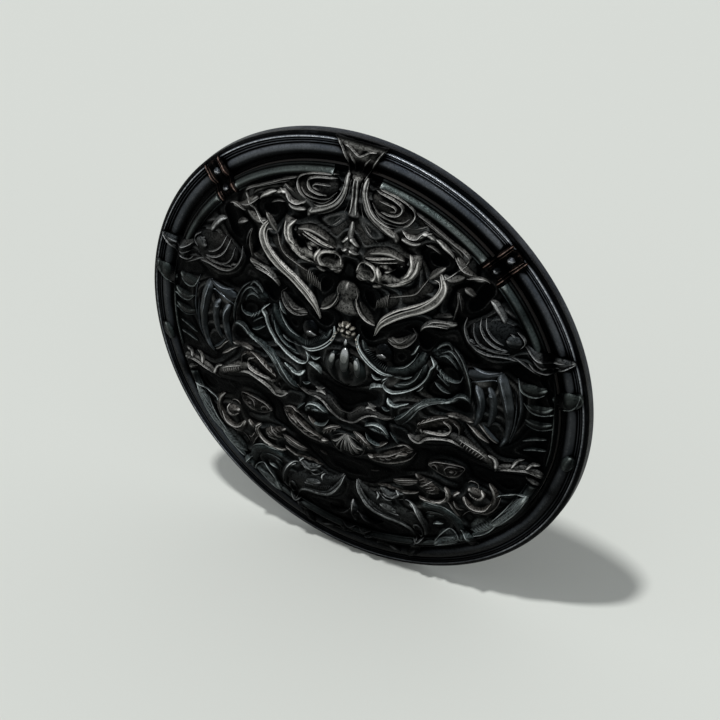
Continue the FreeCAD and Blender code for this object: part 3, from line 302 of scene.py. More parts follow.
def lobe(width, height, points, tone=0.0):
    return 1, "rough", "both", width, height, points, tone


def ring(x, y, wide, tall, lean=0):
    rows = []
    turn = math.radians(lean)
    for index in range(13):
        a = 2 * math.pi * index / 12
        u, v = wide * math.cos(a), tall * math.sin(a)
        rows.append((x + u * math.cos(turn) - v * math.sin(turn),
            y + u * math.sin(turn) + v * math.cos(turn)))
    return rows


def fringe(points, count, side, length, width, height, lean=48):
    # lobes that branch off one side of a path and curl forwards
    curl = 0.49
    path = smoothPath(points, 1.0)[:, :2]
    strokes = []
    for index in range(count):
        part = (index + 0.7) / (count + 0.4)
        spot = path[min(int(part * len(path)), len(path) - 2)]
        ahead = path[min(int(part * len(path)) + 1, len(path) - 1)]
        heading = math.atan2(ahead[1] - spot[1], ahead[0] - spot[0]) + side * math.radians(lean)
        size = length * (0.72 + 0.28 * math.sin(math.pi * part))
        rows = []
        for share in (0, 0.35, 0.7, 1):
            turn = heading - side * curl * share
            rows.append((spot[0] + size * share * math.cos(turn), spot[1] + size * share * math.sin(turn)))
        strokes.append(fold(width, height, rows))
    return strokes


def hatch(first, second, third, fourth, count, width, height):
    # fine ribs side by side, from one line to another
    strokes = []
    for index in range(count):
        part = (index + 0.5) / count
        start = [first[k] + (second[k] - first[k]) * part for k in (0, 1)]
        end = [third[k] + (fourth[k] - third[k]) * part for k in (0, 1)]
        strokes.append(fold(width, height, [start, end]))
    return strokes


def oval(layer, x, y, halfWide, width, height, profile="round", lean=0, tone=0.0):
    dx = halfWide * math.cos(math.radians(lean))
    dy = halfWide * math.sin(math.radians(lean))
    return (layer, profile, "oval", width, height, [(x - dx, y - dy), (x + dx, y + dy)], tone)


# Swells of the embossed sheet itself: across, up, spreads and height
sheetSwells = [
    (78, -22, 26, 18, 3.5), (0, 6, 34, 26, 2.2), (60, 36, 34, 20, -0.7), (78, 128, 26, 18, 1.6),
    (0, 180, 34, 14, 1.0), (52, 178, 26, 16, 0.8), (186, 96, 26, 22, 1.8), (186, 20, 22, 40, 1.6),
    (130, -60, 44, 14, 2.0), (130, -92, 22, 12, 1.4), (90, -130, 46, 18, 2.0), (160, -120, 24, 22, 2.0),
    (50, -178, 30, 18, 2.4), (118, -176, 26, 16, 1.4), (40, -72, 22, 14, 1.5), (0, -100, 24, 14, 1.4)]
print("engine ready")

# Finial: a stem from the rim that spreads into a web over the skulls
finialStrokes = [
    crag(54, 5.6, [(0, 284, 66), (0, 275, 54), (0, 266, 40), (0, 256, 29), (0, 248, 23), (0, 241, 15)],
        0.7),
    mass(14, 6.5, [(0, 246, 16), (0, 236, 12), (0, 222, 10), (0, 208, 12), (0, 198, 18)], 0.4),
    mass(60, 3.6, [(0, 202, 14), (0, 193, 30), (0, 184, 48), (0, 175, 68), (0, 168, 80)], 0.1),
    fold(3.4, 3.4, [(9, 243), (14, 254), (19, 264), (24, 273), (31, 284)], 0.6),
    fold(3, 2.4, [(-4, 270), (0, 268), (6, 271), (13, 276), (20, 277)], 0.7),
    fold(3, 2, [(4, 250), (7, 259), (13, 268)], 0.3),
    (1, "round", "both", 4, 2.6, [(2, 243), (2.6, 228), (2.6, 214), (4, 202)], 0.5),
    fold(2.4, 2.4, [(7, 240), (7, 224), (9, 209), (15, 196), (26, 184)], 0.35),
    fold(2.4, 1.6, [(12, 196), (20, 186), (34, 176)], 0.2),
    crag(11, 7.5, [(0, 194, 5), (0, 184, 10), (0, 170, 16), (0, 160, 22), (0, 152, 14)], 0.45),
    (2, "rough", "end", 5, 3, [(2, 176), (8, 169), (15, 164)], 0.5),
    (2, "rough", "end", 4.5, 3, [(2, 163), (9, 158), (15, 159)], 0.5),
]
carve("finial", finialStrokes, "black_relief", look="pale_relief")

neckStrokes = [
    mass(9, 8, [(12, 246, 4), (11, 236, 7), (13, 224, 8), (20, 211, 10), (31, 202, 10), (43, 196, 11),
        (52, 191, 8), (58, 188, 4)], 0.25),
    fold(2.6, 2.6, [(14, 243), (15, 228), (22, 214), (33, 205), (46, 200), (58, 200)], 0.7),
    fold(2.4, 2.2, [(10, 240), (10, 226), (16, 210), (28, 198), (44, 190)], 0.3),
    crag(10, 6, [(50, 196, 6), (54, 189, 10), (56, 183, 6)], 0.35),
    mass(9, 6, [(60, 190, 5), (68, 189, 9), (77, 188, 8), (84, 190, 3)], 0.6),
]
carve("neck_scrolls", neckStrokes, "black_relief", look="pale_relief")

roundelStrokes = [
    mass(34, 5.4, [(18, 226, 18), (28, 223, 30), (42, 220, 34), (56, 216, 32), (68, 212, 22),
        (74, 209, 10)], -0.1),
    fold(4, 3.6, [(24, 236), (38, 235), (50, 232), (59, 226), (57, 218), (46, 214), (34, 215)], 0.35),
    fold(3, 2.6, [(30, 227), (40, 226), (50, 224), (52, 220), (44, 218)], 0.1),
    fold(4, 3.4, [(62, 232), (71, 226), (74, 218), (69, 209), (60, 203)], 0.55),
    fold(3, 2.4, [(22, 222), (32, 212), (46, 208), (60, 209), (68, 215)], 0.15),
    fold(3, 2.2, [(26, 214), (38, 205), (52, 203), (62, 205)], 0.3),
    fold(2.6, 2.4, [(24, 240), (38, 239), (55, 235), (69, 228)], 0.3),
]
carve("roundels", roundelStrokes, "black_relief", look="pale_relief")

crownStrokes = [
    crag(12, 6, [(60, 200, 4), (70, 195, 8), (80, 196, 9), (88, 203, 9), (95, 201, 8), (102, 196, 5)], 0.3),
    fold(3.6, 3, [(60, 201), (70, 195), (80, 196), (86, 203), (96, 205)], 0.8),
    mass(9, 6, [(99, 200, 3), (106, 197, 8), (113, 192, 9), (120, 186, 5), (124, 180, 2)], 0.55),
    (0, "rough", "both", 14, 4, [(72, 210), (86, 212), (98, 207)], -0.3),
    fold(3, 2.6, [(64, 206), (74, 204), (82, 208), (90, 212)], 0.1),
    spine(4, 4, [(88, 190), (98, 188), (108, 182)], -0.2),
    oval(2, 89, 204, 3.6, 6, 2.6, "rough", 0, 1.0),
]
carve("crown_scrolls", crownStrokes, "black_relief", look="pale_relief")

filletStrokes = [
    (0, "keel", "none", 5, 6.5, [(74, 224, 2), (88, 218, 3.4), (104, 210, 4), (120, 201, 4), (134, 193, 4),
        (141, 187, 4), (139, 180, 3.4), (133, 173, 2)], 0.45),
    mass(10, 4, [(82, 213, 5), (98, 206, 9), (114, 199, 9), (128, 190, 7), (134, 182, 4)], -0.2),
    fold(2, 2, [(84, 217), (100, 210), (116, 202), (130, 194)], 0.5),
    mass(14, 6, [(126, 184, 6), (134, 176, 12), (140, 168, 14), (150, 164, 10), (160, 163, 4)], 0.0),
    fold(2.6, 2.6, [(124, 183), (130, 177), (137, 172), (148, 168)], 0.6),
    mass(12, 5.5, [(112, 160, 4), (122, 156, 10), (132, 160, 11), (140, 166, 5)], 0.15),
    fold(2.4, 2.4, [(113, 154), (122, 161), (131, 170), (139, 178)], 0.9),
    mass(11, 6, [(138, 150, 3), (144, 148, 9), (151, 143, 5)], 0.5),
    fold(3, 3, [(140, 163), (150, 166), (160, 165), (166, 161)], 0.4),
]
carve("frame_fillets", filletStrokes, "black_relief", look="pale_relief")

skullStrokes = [
    crag(20, 8.5, [(79, 175, 16), (80, 166, 16), (78, 156, 18), (70, 147, 20), (56, 142, 22), (42, 141, 24),
        (28, 140, 27), (16, 137, 20), (9, 133, 8)], 0.55),
    crag(12, 8, [(36, 150, 8), (46, 153, 12), (56, 152, 10)], 0.5),
    (0, "round", "both", 17, 7.5, [(16, 157), (32, 163), (50, 166), (64, 163), (71, 155)], -0.7),
    (1, "round", "both", 7, 2.6, [(26, 165), (40, 170), (54, 171), (68, 166)], -0.6),
    fold(3.4, 3.4, [(20, 157), (31, 160), (44, 164), (61, 169)], 0.9),
    fold(2.6, 2.6, [(24, 154), (35, 157), (48, 160), (60, 163)], 0.7),
    lobe(5, 2.6, [(46, 148), (54, 151), (61, 156), (66, 160)], 0.4),
    lobe(7, 3.6, [(72, 174), (78, 166), (76, 155), (69, 147)], 0.8),
    lobe(6, 3.2, [(84, 170), (83, 158), (77, 149), (64, 140)], 1.0),
    lobe(5.5, 3.2, [(10, 138), (13, 147), (22, 151), (31, 150), (36, 143), (33, 135), (23, 131), (14, 133)],
        0.7),
    lobe(6, 3, [(36, 152), (40, 144), (41, 136)], 0.8),
    lobe(5, 3, [(44, 131), (54, 134), (66, 139), (78, 146)], 0.9),
    oval(1, 14, 130, 5, 9, 3.6, "rough", -30), oval(1, 36, 126, 6.5, 6, 4.6, "rough", 16),
    oval(1, 23, 142, 6, 7, 2.2, "round", 10),
    lobe(4, 2.4, [(27, 149), (20, 152), (14, 151)], 0.5),
]
carve("skull", skullStrokes, "bone_relief", sided=True)

browStrokes = [
    (0, "strap", "none", 9, 7, [(107, 163, 2.5), (114, 152, 6), (115, 141, 9.5), (107, 127, 11),
        (92, 114, 9.5), (75, 104, 8), (61, 95, 8), (50, 86, 8), (42, 77, 5.5), (35, 62, 1.6)], 0.5),
    spine(3.8, 7, [(102, 152), (109, 150), (110, 142), (104, 131), (92, 121), (77, 112), (63, 104),
        (51, 94), (43, 85), (38, 74), (34.6, 62)], 1.0),
    fold(2.6, 1.8, [(110, 160), (117, 148), (117, 138), (110, 124), (95, 111), (78, 101), (62, 91),
        (50, 81)], 1.0),
    mass(26, 3.6, [(100, 148, 10), (94, 139, 24), (82, 129, 24), (66, 119, 20), (52, 110, 18),
        (44, 100, 10)]),
    fold(3, 2.0, [(98, 154), (92, 143), (84, 131), (68, 124), (52, 117)]),
    (0, "round", "both", 9, 4, [(96, 150), (104, 158), (114, 168)]),
    *hatch((34, 95), (52, 106), (36, 108), (52, 122), 8, 2, 2.6),
    (0, "round", "both", 11, 3.4, [(15, 101), (19, 92), (26, 84), (35, 77)]),
    fold(2.8, 4, [(11, 103), (14, 93), (20, 84), (28, 78), (35, 75)], 0.8),
]
carve("brow_blade", browStrokes, "bright_relief", sided=True)

foreheadStrokes = [
    crag(30, 6, [(0, 121, 12), (0, 116, 24), (0, 108, 31), (0, 100, 22), (0, 92, 25), (0, 86, 34),
        (0, 80, 34)], 0.7),
    (1, "rough", "none", 12, 2.6, [(0, 120, 5), (0, 110, 16), (0, 100, 14), (0, 90, 22), (0, 82, 28)],
        0.35),
    fold(3, 2.2, [(10, 116), (13, 107), (11, 97), (14, 89), (20, 82)], 0.3),
]
carve("forehead_plate", foreheadStrokes, "bone_relief")

starStrokes = [oval(0, 0, 60, 9, 17, 5.0, "rough", 0, -0.2)]
starStrokes += [oval(1, x, y, 3.4, 5.5, 3.4, "rough", lean, tone) for x, y, lean, tone in (
    (3, 66, 60, 0.5), (8, 63, 20, 0.1), (4, 58, -40, 0.8), (9.5, 56, 70, 0.0), (3, 51, 10, 0.3))]
starStrokes += [oval(1, 13 + 2.0 * k, 51 - 4.6 * k, 1.9, 3.4, 2.6, "rough", 0, 0.4 - 0.1 * k)
    for k in range(3)]
carve("star_rosette", starStrokes, "gilt_relief")

socketStrokes = [
    mass(14, 4.6, [(20, 52, 6), (25, 40, 11), (33, 30, 14), (45, 24, 13), (58, 23, 13), (72, 26, 14),
        (84, 34, 16), (93, 45, 15), (98, 58, 10)]),
    (0, "keel", "none", 8, 8.5, [(104, 56, 2), (111, 48, 5), (107, 41, 6), (103, 29, 6), (95, 17, 5.5),
        (84, 7, 5), (71, 0, 4.5), (60, -4, 4), (52, -2, 3.4), (49, 4, 3), (53, 10, 2)], 0.9),
    mass(12, 5, [(60, 4, 6), (74, 8, 12), (87, 18, 15), (96, 32, 15), (101, 46, 8)]),
    fold(3, 2.4, [(66, 8), (80, 14), (90, 24), (96, 38)], 0.2),
    fold(3.4, 3, [(60, 16), (74, 18), (84, 24)], 0.5),
    (0, "twin", "both", 4.6, 7, [(16, 58), (14.6, 50), (17, 42), (25, 32), (36, 23), (48, 17.5), (60, 17)],
        0.9),
    *hatch((22, 42), (52, 19), (30, 44), (54, 28), 13, 1.8, 1.8),
    fold(2.6, 2, [(62, 28), (74, 33), (84, 44), (90, 56)], 0.3),
    spine(5, 5, [(80, 50), (86, 56), (90, 66)], 0.3),
    spine(6.5, 7, [(31, -11), (36, -4), (43, -1), (50, 0)], 0.9),
    spine(5, 5, [(33, 12), (39, 7), (47, 9)], 0.4),
    spine(4, 5, [(46, 3), (49, 9), (54, 13)], 0.6),
]
carve("eye_rims", socketStrokes, "black_relief", look="teal_relief")

carve("eye_bosses", [
    (0, "round", "oval", 19, 6.0, [(36, 43), (59, 44)]),
    # a painted glint on the dark eye
    (1, "rough", "none", 7, 2.2, [(38, 38, 2), (44, 39, 7), (48, 40, 7), (52, 38, 3)], 0.9),
], "black_relief", look="eye_gloss")

carve("eyelids", [
    (0, "round", "both", 11, 5.5, [(52, 63), (66, 62), (77, 68), (85, 79)]),
    fold(3.4, 3.4, [(52, 61), (65, 58), (76, 62), (84, 70), (87, 78), (81, 85)]),
    fold(2.6, 2, [(56, 67), (68, 65), (77, 72)]),
], "black_relief", look="pale_relief")

templeStrokes = [
    mass(15, 6, [(90, 84, 2.5), (95, 91, 6), (102, 97, 10), (112, 101, 13), (123, 102, 12), (133, 104, 5)],
        0.15),
    fold(3.2, 3.2, [(90, 83), (96, 92), (104, 97), (114, 99), (124, 98)], 0.8),
    fold(2.6, 2.4, [(96, 92), (106, 102), (118, 105), (130, 104)], 0.5),
    fold(2.2, 2, [(104, 96), (114, 101), (126, 101)], 0.4),
    spine(4, 5, [(128, 106), (131, 118), (133, 130), (131, 143)], -0.3),
    (0, "round", "both", 9, 4, [(104, 106), (116, 110), (128, 113)], -0.3),
]
carve("temple_leaves", templeStrokes, "black_relief", look="pale_relief")

noseStrokes = [
    (0, "flute", "oval", 46, 7.2, [(0, 33), (0, -16)], -0.1),
    mass(18, 5, [(0, 48, 7), (0, 38, 11), (0, 30, 20), (0, 20, 30)], -0.3),
    (1, "round", "oval", 13, 3.0, [(0, 37), (0, 6)], 0.2),
    (1, "round", "oval", 9, 2.6, [(15, 28), (18, 4)], 0.1),
    # painted highlights: faint strokes that paint the gleams on the glossy nose
    (2, "round", "oval", 10, 0.7, [(0, 36), (0, 17)], 1.0),
    (2, "round", "oval", 6, 0.5, [(14, 26), (17, 13)], 0.8),
    lobe(5, 3.4, [(0, 47), (0, 42), (0, 38)], 0.7),
]
carve("nose_boss", noseStrokes, "black_relief", look="nose_gloss")

wingStrokes = [
    crag(22, 5, [(106, 58, 8), (114, 62, 18), (124, 62, 22), (134, 57, 16), (140, 48, 6)], -0.1),
    lobe(6, 3.4, [(112, 68), (117, 74), (125, 77), (131, 71)], 0.4),
    fold(3, 2.8, [(118, 66), (128, 70), (136, 64), (142, 53), (146, 40)], 0.4),
    fold(3, 2.6, [(116, 60), (124, 64), (132, 58), (138, 46)], 0.2),
    (0, "keel", "none", 6, 6, [(130, 76, 2), (140, 66, 4), (147, 53, 5), (152, 38, 5), (154, 22, 4),
        (153, 8, 2)], 0.2),
    (0, "keel", "none", 5, 5.5, [(112, 46, 2), (122, 36, 5), (132, 31, 6), (141, 33, 4), (144, 41, 2)],
        -0.1),
    crag(9, 6, [(112, -4, 3), (124, 1, 6), (134, 6, 8), (142, 13, 9), (151, 12, 7), (154, 5, 3)], 0.2),
    fold(2.6, 2.6, [(132, 6), (140, 14), (149, 15), (154, 8)], 0.5),
    spine(5, 4.6, [(110, 24), (120, 16), (130, 13)], -0.3),
    spine(5, 4.6, [(112, 36), (120, 30), (128, 22)], -0.2),
    *fringe([(112, 50), (120, 40), (128, 34)], 4, -1, 10, 3.6, 3),
]
carve("wing_scrolls", wingStrokes, "black_relief", look="teal_relief")

ridgeStrokes = [
    mass(17, 7, [(64, -46, 10), (71, -39, 14), (79, -31, 14), (86, -22, 11), (93, -13, 11), (102, -6, 11),
        (114, -1, 9), (128, 3, 5)], 0.1),
    fold(3, 2.6, [(72, -46), (81, -36), (89, -25), (96, -14), (108, -5), (120, 0)], 0.45),
    fold(2.6, 2, [(62, -42), (72, -34), (80, -25), (88, -14), (98, -4)], 0.3),
    lobe(7, 2, [(90, -18), (97, -10), (106, -5)], 0.5),
    crag(8, 6, [(54, -14, 3), (58, -19, 8), (65, -21, 7), (73, -17, 5), (82, -12, 2)], 0.5),
    spine(5, 4.4, [(46, -28), (52, -32), (58, -30)], -0.2),
    spine(4, 4.4, [(88, 4), (94, 9), (98, 15)], 0.4),
]
carve("cheek_ridges", ridgeStrokes, "black_relief", look="teal_relief")

lipStrokes = [
    mass(18, 6.5, [(0, -61, 13), (8, -58, 14), (15, -52, 17), (23, -45, 17), (32, -42, 11), (42, -42, 7),
        (52, -43, 7), (62, -38, 3)], -0.1),
    (1, "keel", "end", 3.6, 3.6, [(-2, -68), (7, -66), (15, -61), (21, -54), (29, -48), (38, -45),
        (50, -46), (58, -43), (64, -37)], 0.9),
    (1, "keel", "end", 2.6, 2, [(-2, -54), (6, -52), (13, -46), (20, -39)], 0.0),
    lobe(5, 3, [(26, -38), (32, -35), (40, -38)], 0.8),
    spine(5, 4.6, [(28, -30), (34, -33), (41, -31)], 0.0),
    lobe(5, 3, [(40, -45), (50, -44), (60, -41)], 0.2),
]
carve("lip_band", lipStrokes, "black_relief", look="pale_relief")

curlStrokes = [
    crag(15, 6.5, [(24, -62, 6), (32, -60, 11), (42, -60, 12), (51, -66, 9), (55, -74, 4)], 0.05),
    fold(4, 3.6, [(23, -66), (29, -60), (38, -56), (48, -58), (55, -67)], 0.45),
    lobe(5, 3, [(28, -68), (36, -64), (44, -66), (46, -72)], 0.6),
    spine(6, 5.5, [(24, -74), (29, -83), (39, -87), (51, -83)], 0.15),
    spine(6, 5, [(56, -62), (63, -70), (70, -80)], -0.2),
]
carve("moustache_curls", curlStrokes, "black_relief", look="teal_relief")

carve("chin_leaves", [
    spine(9, 7, [(8, -79), (19, -84), (28, -91), (35, -97)], 0.1),
    fold(3, 2.6, [(10, -78), (21, -82), (31, -90)], 0.6),
    spine(7, 5.5, [(35, -93), (44, -87), (53, -79)], 0.1),
    *fringe([(10, -80), (20, -86), (32, -94)], 4, -1, 8, 3.4, 3),
], "black_relief", look="warm_relief")

chinStrokes = [mass(30, 5, [(0, -83, 10), (0, -93, 28), (0, -104, 36), (0, -113, 20)])]
chinStrokes += [(1, "keel", "start", 5.5, 4, [(0.6 + 0.4 * k, -86), (x * 0.55, -98), (x, y)], 0.7)
                for k, (x, y) in enumerate([(1.6, -108), (8, -114), (15, -110), (21, -103)])]
chinStrokes += [fold(3.4, 3, [(0, -85), (12, -90), (22, -100), (17, -112), (8, -116), (0, -108)])]
carve("chin_fan", chinStrokes, "black_relief", look="pale_relief")

cheekLeafStrokes = [
    crag(20, 6.5, [(28, -109, 6), (40, -106, 13), (54, -100, 18), (67, -92, 20), (78, -83, 15),
        (86, -77, 6)], 0.05),
    fold(3.6, 3.4, [(26, -112), (42, -112), (56, -108), (70, -102), (82, -93), (88, -83)], 0.55),
    fold(3.4, 3, [(54, -88), (66, -79), (76, -75), (86, -79)], 0.5),
    fold(3, 2.6, [(38, -104), (52, -98), (64, -90), (72, -84)], 0.5),
    lobe(6, 3.4, [(64, -96), (70, -89), (78, -88)], 0.3),
    *fringe([(38, -106), (54, -98), (68, -89), (82, -79)], 6, -1, 9, 3, 2.2, 55),
    oval(1, 30, -107, 5, 7, 3.6, "rough", 0, 0.5), oval(1, 37, -113, 4, 5, 3, "rough", 0, 0.4),
]
carve("cheek_leaves", cheekLeafStrokes, "black_relief", look="warm_relief")

lowerBrowStrokes = [
    crag(20, 7.5, [(80, -58, 7), (90, -60, 11), (99, -55, 13), (109, -47, 17), (122, -42, 17),
        (138, -42, 17), (152, -50, 16), (164, -58, 13), (176, -66, 11), (184, -76, 7)], 0.05),
    crag(12, 6.5, [(180, -74, 6), (190, -72, 10), (203, -69, 11), (217, -67, 11), (230, -70, 10),
        (238, -77, 4)], 0.1),
    fold(4.6, 4.2, [(79, -57), (88, -64), (97, -62), (104, -54), (114, -49), (126, -47), (138, -48),
        (148, -54)], 0.95),
    fold(3.4, 3, [(97, -50), (102, -43), (112, -42), (124, -40), (132, -35)], 0.5),
    fold(3, 2.6, [(144, -42), (154, -47), (166, -54), (176, -62)], 0.4),
    *hatch((146, -42), (176, -58), (143, -53), (168, -66), 8, 2.6, 2.6),
    lobe(6, 3.4, [(176, -58), (184, -64), (186, -74), (182, -82)], 0.3),
    fold(3.4, 3, [(186, -78), (196, -72), (210, -70), (224, -69), (236, -78)], 0.55),
    lobe(6, 4, [(204, -68), (208, -60), (216, -55)], 0.1),
    lobe(6, 4, [(220, -66), (226, -60), (234, -60)], 0.2),
    crag(7, 5, [(218, -80, 3), (225, -84, 7), (233, -89, 3)], 0.1),
    oval(2, 90, -49, 4, 6, 3, "rough", 40, 0.7), oval(2, 97, -45, 3, 5, 2.6, "rough", 0, 0.4),
]
carve("lower_brow", lowerBrowStrokes, "black_relief", look="pale_relief", sided=True)

cheekVoluteStrokes = [
    crag(22, 6.5, [(90, -44, 8), (100, -38, 16), (112, -31, 20), (124, -26, 20), (136, -26, 18),
        (144, -34, 12), (147, -44, 5)], 0.0),
    fold(3.6, 3.2, [(124, -23), (131, -27), (133, -34), (129, -39), (120, -41), (110, -42), (101, -46)],
        0.9),
    fold(3, 2.6, [(92, -38), (104, -29), (118, -21), (130, -17)], 0.4),
    (0, "rough", "both", 8, 6, [(124, -16), (136, -14), (148, -16), (160, -18)], 0.35),
    spine(5, 5.5, [(146, -18), (156, -25), (166, -34), (176, -42)], 0.35),
    spine(5, 5, [(160, -14), (170, -24), (178, -34), (186, -40)], 0.4),
    fold(3, 2.6, [(136, -22), (142, -28), (143, -38)], 0.2),
    *fringe([(90, -42), (100, -33), (112, -25)], 4, 1, 8, 3.4, 2.6),
]
carve("cheek_volutes", cheekVoluteStrokes, "black_relief", look="warm_relief")

almondStrokes = [
    crag(19, 6, [(104, -93, 4), (111, -92, 11), (120, -93, 16), (130, -94, 18), (139, -92, 15),
        (147, -89, 6)], 0.1),
    (1, "keel", "none", 3, 2.6, [(104, -93), (112, -87), (122, -85), (134, -84), (148, -86), (142, -97),
        (134, -102), (122, -104), (112, -100), (104, -93)], 0.35),
    fold(3, 2.6, [(128, -100), (126, -92), (130, -87), (140, -87)], 0.7),
    fold(2.4, 2, [(136, -98), (140, -92), (138, -90)], 0.4),
    (1, "rough", "none", 2.6, 2.2, ring(113, -94, 4, 4)),
    oval(2, 134, -93, 3, 4, 1.6, "rough", 0, 0.5),
]
carve("almond_eyes", almondStrokes, "black_relief", look="warm_relief")
print("upper and middle ornament drawn")

jawLeafStrokes = [
    mass(10, 6, [(57, -136, 4), (66, -133, 8), (78, -129, 9), (90, -126, 6)], 0.1),
    fold(2.8, 2.6, [(57, -133), (68, -129), (80, -125), (90, -123)], 0.7),
    fold(2.6, 2.4, [(60, -137), (72, -134), (86, -129)], 0.5),
    crag(22, 6.5, [(86, -114, 5), (94, -120, 13), (103, -127, 19), (111, -131, 16), (117, -134, 6)], 0.15),
    fold(3, 2.8, [(88, -132), (95, -129), (101, -123), (108, -118)], 0.4),
    fold(2.6, 2.4, [(92, -139), (102, -137), (112, -134)], 0.5),
    *hatch((90, -119), (104, -132), (98, -115), (114, -128), 5, 2.6, 2.4),
    crag(8, 7, [(123, -122, 3), (128, -128, 6), (128, -137, 7), (122, -144, 7), (112, -149, 7),
        (100, -150, 6), (88, -149, 3)], 0.15),
    fold(2.8, 2.8, [(122, -123), (126, -130), (124, -139), (116, -146), (104, -148)], 0.8),
    crag(8, 5, [(36, -150, 3), (50, -147, 7), (64, -148, 8), (78, -147, 7), (90, -142, 3)], -0.1),
    crag(7, 5, [(132, -134, 3), (136, -129, 7), (141, -124, 4)], 0.2),
    spine(4, 4, [(28, -131), (34, -129), (40, -127)], 0.0),
]
carve("jaw_leaves", jawLeafStrokes, "black_relief", look="warm_relief")

jawVoluteStrokes = [
    mass(12, 7, [(145, -126, 4), (149, -136, 10), (158, -143, 13), (169, -143, 13), (179, -135, 13),
        (184, -123, 11), (182, -110, 8), (176, -101, 4)], 0.0),
    fold(3, 3, [(147, -128), (152, -137), (162, -142), (173, -139), (180, -128)], 0.5),
    fold(2.4, 2.2, [(150, -142), (162, -148), (176, -144), (186, -132), (190, -118)], 0.2),
    crag(20, 7, [(152, -112, 7), (158, -116, 16), (165, -120, 18), (172, -121, 9)], 0.2),
    lobe(5, 3, [(154, -119), (160, -124), (167, -125), (171, -119), (168, -112)], 0.7),
    fold(3.4, 3, [(150, -108), (156, -102), (163, -104), (165, -111)], 0.2),
    mass(16, 5, [(127, -141, 5), (133, -147, 13), (138, -154, 12), (141, -163, 4)], -0.1),
    fold(2.4, 3, [(127, -142), (132, -150), (136, -158), (141, -164)], 0.6),
    fold(2.4, 3, [(141, -164), (147, -155), (155, -149), (166, -146)], 0.6),
    fold(2.4, 2.4, [(133, -140), (138, -149), (147, -152)], 0.3),
]
carve("jaw_volutes", jawVoluteStrokes, "black_relief", look="warm_relief")

leafStrokes = [
    mass(40, 6.5, [(9, -152, 2), (16, -163, 16), (26, -173, 26), (38, -180, 32), (52, -184, 32),
        (66, -186, 30), (78, -191, 26), (87, -200, 16), (90, -212, 3)], 0.15),
    (1, "round", "none", 10, 3.4, [(8, -155, 3), (12, -166, 8), (20, -179, 10), (31, -190, 9),
        (44, -195, 7), (58, -198, 6), (69, -202, 6), (77, -210, 5), (83, -221, 2)], 0.15),
    (2, "keel", "both", 5.0, 3.6, [(8, -154), (12, -168), (21, -182), (32, -193), (45, -197), (59, -200),
        (70, -204), (77, -212), (82, -224)], 1.0),
    (2, "keel", "both", 4.2, 3, [(34, -152), (39, -162), (50, -168), (62, -164), (73, -160), (83, -166),
        (90, -179), (95, -193), (97, -207)], 1.0),
    crag(12, 7, [(40, -152, 6), (48, -156, 13), (57, -156, 12), (65, -152, 10), (72, -151, 5)], 0.2),
    lobe(5, 3.4, [(44, -158), (52, -161), (60, -158), (66, -152), (62, -147)], 0.7),
    lobe(4, 3, [(33, -160), (38, -165), (36, -172)], 0.3),
    lobe(12, 2.2, [(40, -176), (50, -180), (61, -182)], 0.15),
    fold(2.4, 2, [(44, -180), (54, -184), (64, -186)], 0.4),
    *hatch((18, -172), (66, -192), (24, -186), (68, -203), 17, 1.8, 1.6),
    mass(9, 7, [(76, -164, 3), (86, -172, 8), (93, -185, 10), (96, -199, 9), (92, -213, 4)], 0.2),
    (1, "rough", "none", 3, 2.6, ring(85, -206, 4.6, 10, 8)),
    spine(6, 6, [(76, -222), (83, -226), (91, -216)], 0.2),
    (0, "round", "both", 9, 5, [(80, -228), (76, -240), (70, -252)], -0.5),
]
carve("bottom_leaf", leafStrokes, "black_relief", look="leaf_relief", sided=True)

archStrokes = [
    mass(14, 6.5, [(90, -163, 6), (98, -160, 12), (110, -158, 14), (122, -160, 15), (132, -167, 15),
        (138, -179, 14), (141, -192, 12), (142, -204, 5)], 0.1),
    fold(2.8, 3, [(96, -173), (102, -168), (112, -167), (121, -169)], 0.85),
    fold(2.6, 2.4, [(92, -154), (106, -151), (121, -153), (134, -160), (144, -173)], 0.35),
    crag(12, 6, [(140, -178, 5), (146, -188, 11), (150, -199, 13), (146, -211, 6)], 0.25),
    spine(5, 5, [(103, -189), (110, -184), (118, -183)], 0.5),
    (0, "rough", "both", 8, 4, [(98, -184), (100, -176), (108, -173)], -0.2),
    fold(2.6, 2.4, [(141, -182), (150, -194), (157, -206)], 0.5),
]
carve("bottom_arches", archStrokes, "black_relief", look="teal_relief")

cornerStrokes = [
    mass(22, 5, [(104, -221, 3), (110, -213, 12), (118, -204, 20), (126, -198, 22), (134, -196, 16),
        (139, -196, 5)], 0.15),
    (2, "keel", "both", 3.6, 3, [(103, -223), (112, -218), (122, -214), (133, -209)], 1.0),
    fold(2.4, 2.4, [(104, -220), (110, -207), (118, -195), (126, -187), (135, -192), (139, -203)], 0.4),
    fold(2.2, 1.6, [(112, -208), (121, -202), (131, -199)], 0.2),
    mass(18, 4.6, [(150, -182, 4), (156, -176, 14), (164, -168, 20), (172, -160, 20), (180, -150, 8)], 0.7),
    fold(3.2, 3.2, [(155, -189), (166, -184), (175, -175), (183, -163)], 0.9),
    *hatch((152, -178), (172, -156), (162, -184), (182, -162), 7, 1.6, 1.2),
    mass(16, 4, [(220, -106, 4), (213, -122, 16), (203, -137, 22), (190, -152, 20), (178, -165, 6)], 0.9),
    *hatch((224, -116), (206, -112), (186, -164), (172, -152), 6, 1.8, 1.4),
    fold(3, 3, [(186, -116), (196, -113), (207, -109), (222, -105)], 0.8),
    fold(2.6, 2.6, [(205, -116), (196, -132), (186, -147), (178, -158)], 0.9),
    fold(2.4, 2.2, [(220, -112), (212, -129), (201, -144), (190, -157)], 0.4),
]
carve("corner_panels", cornerStrokes, "black_relief", look="panel_relief")

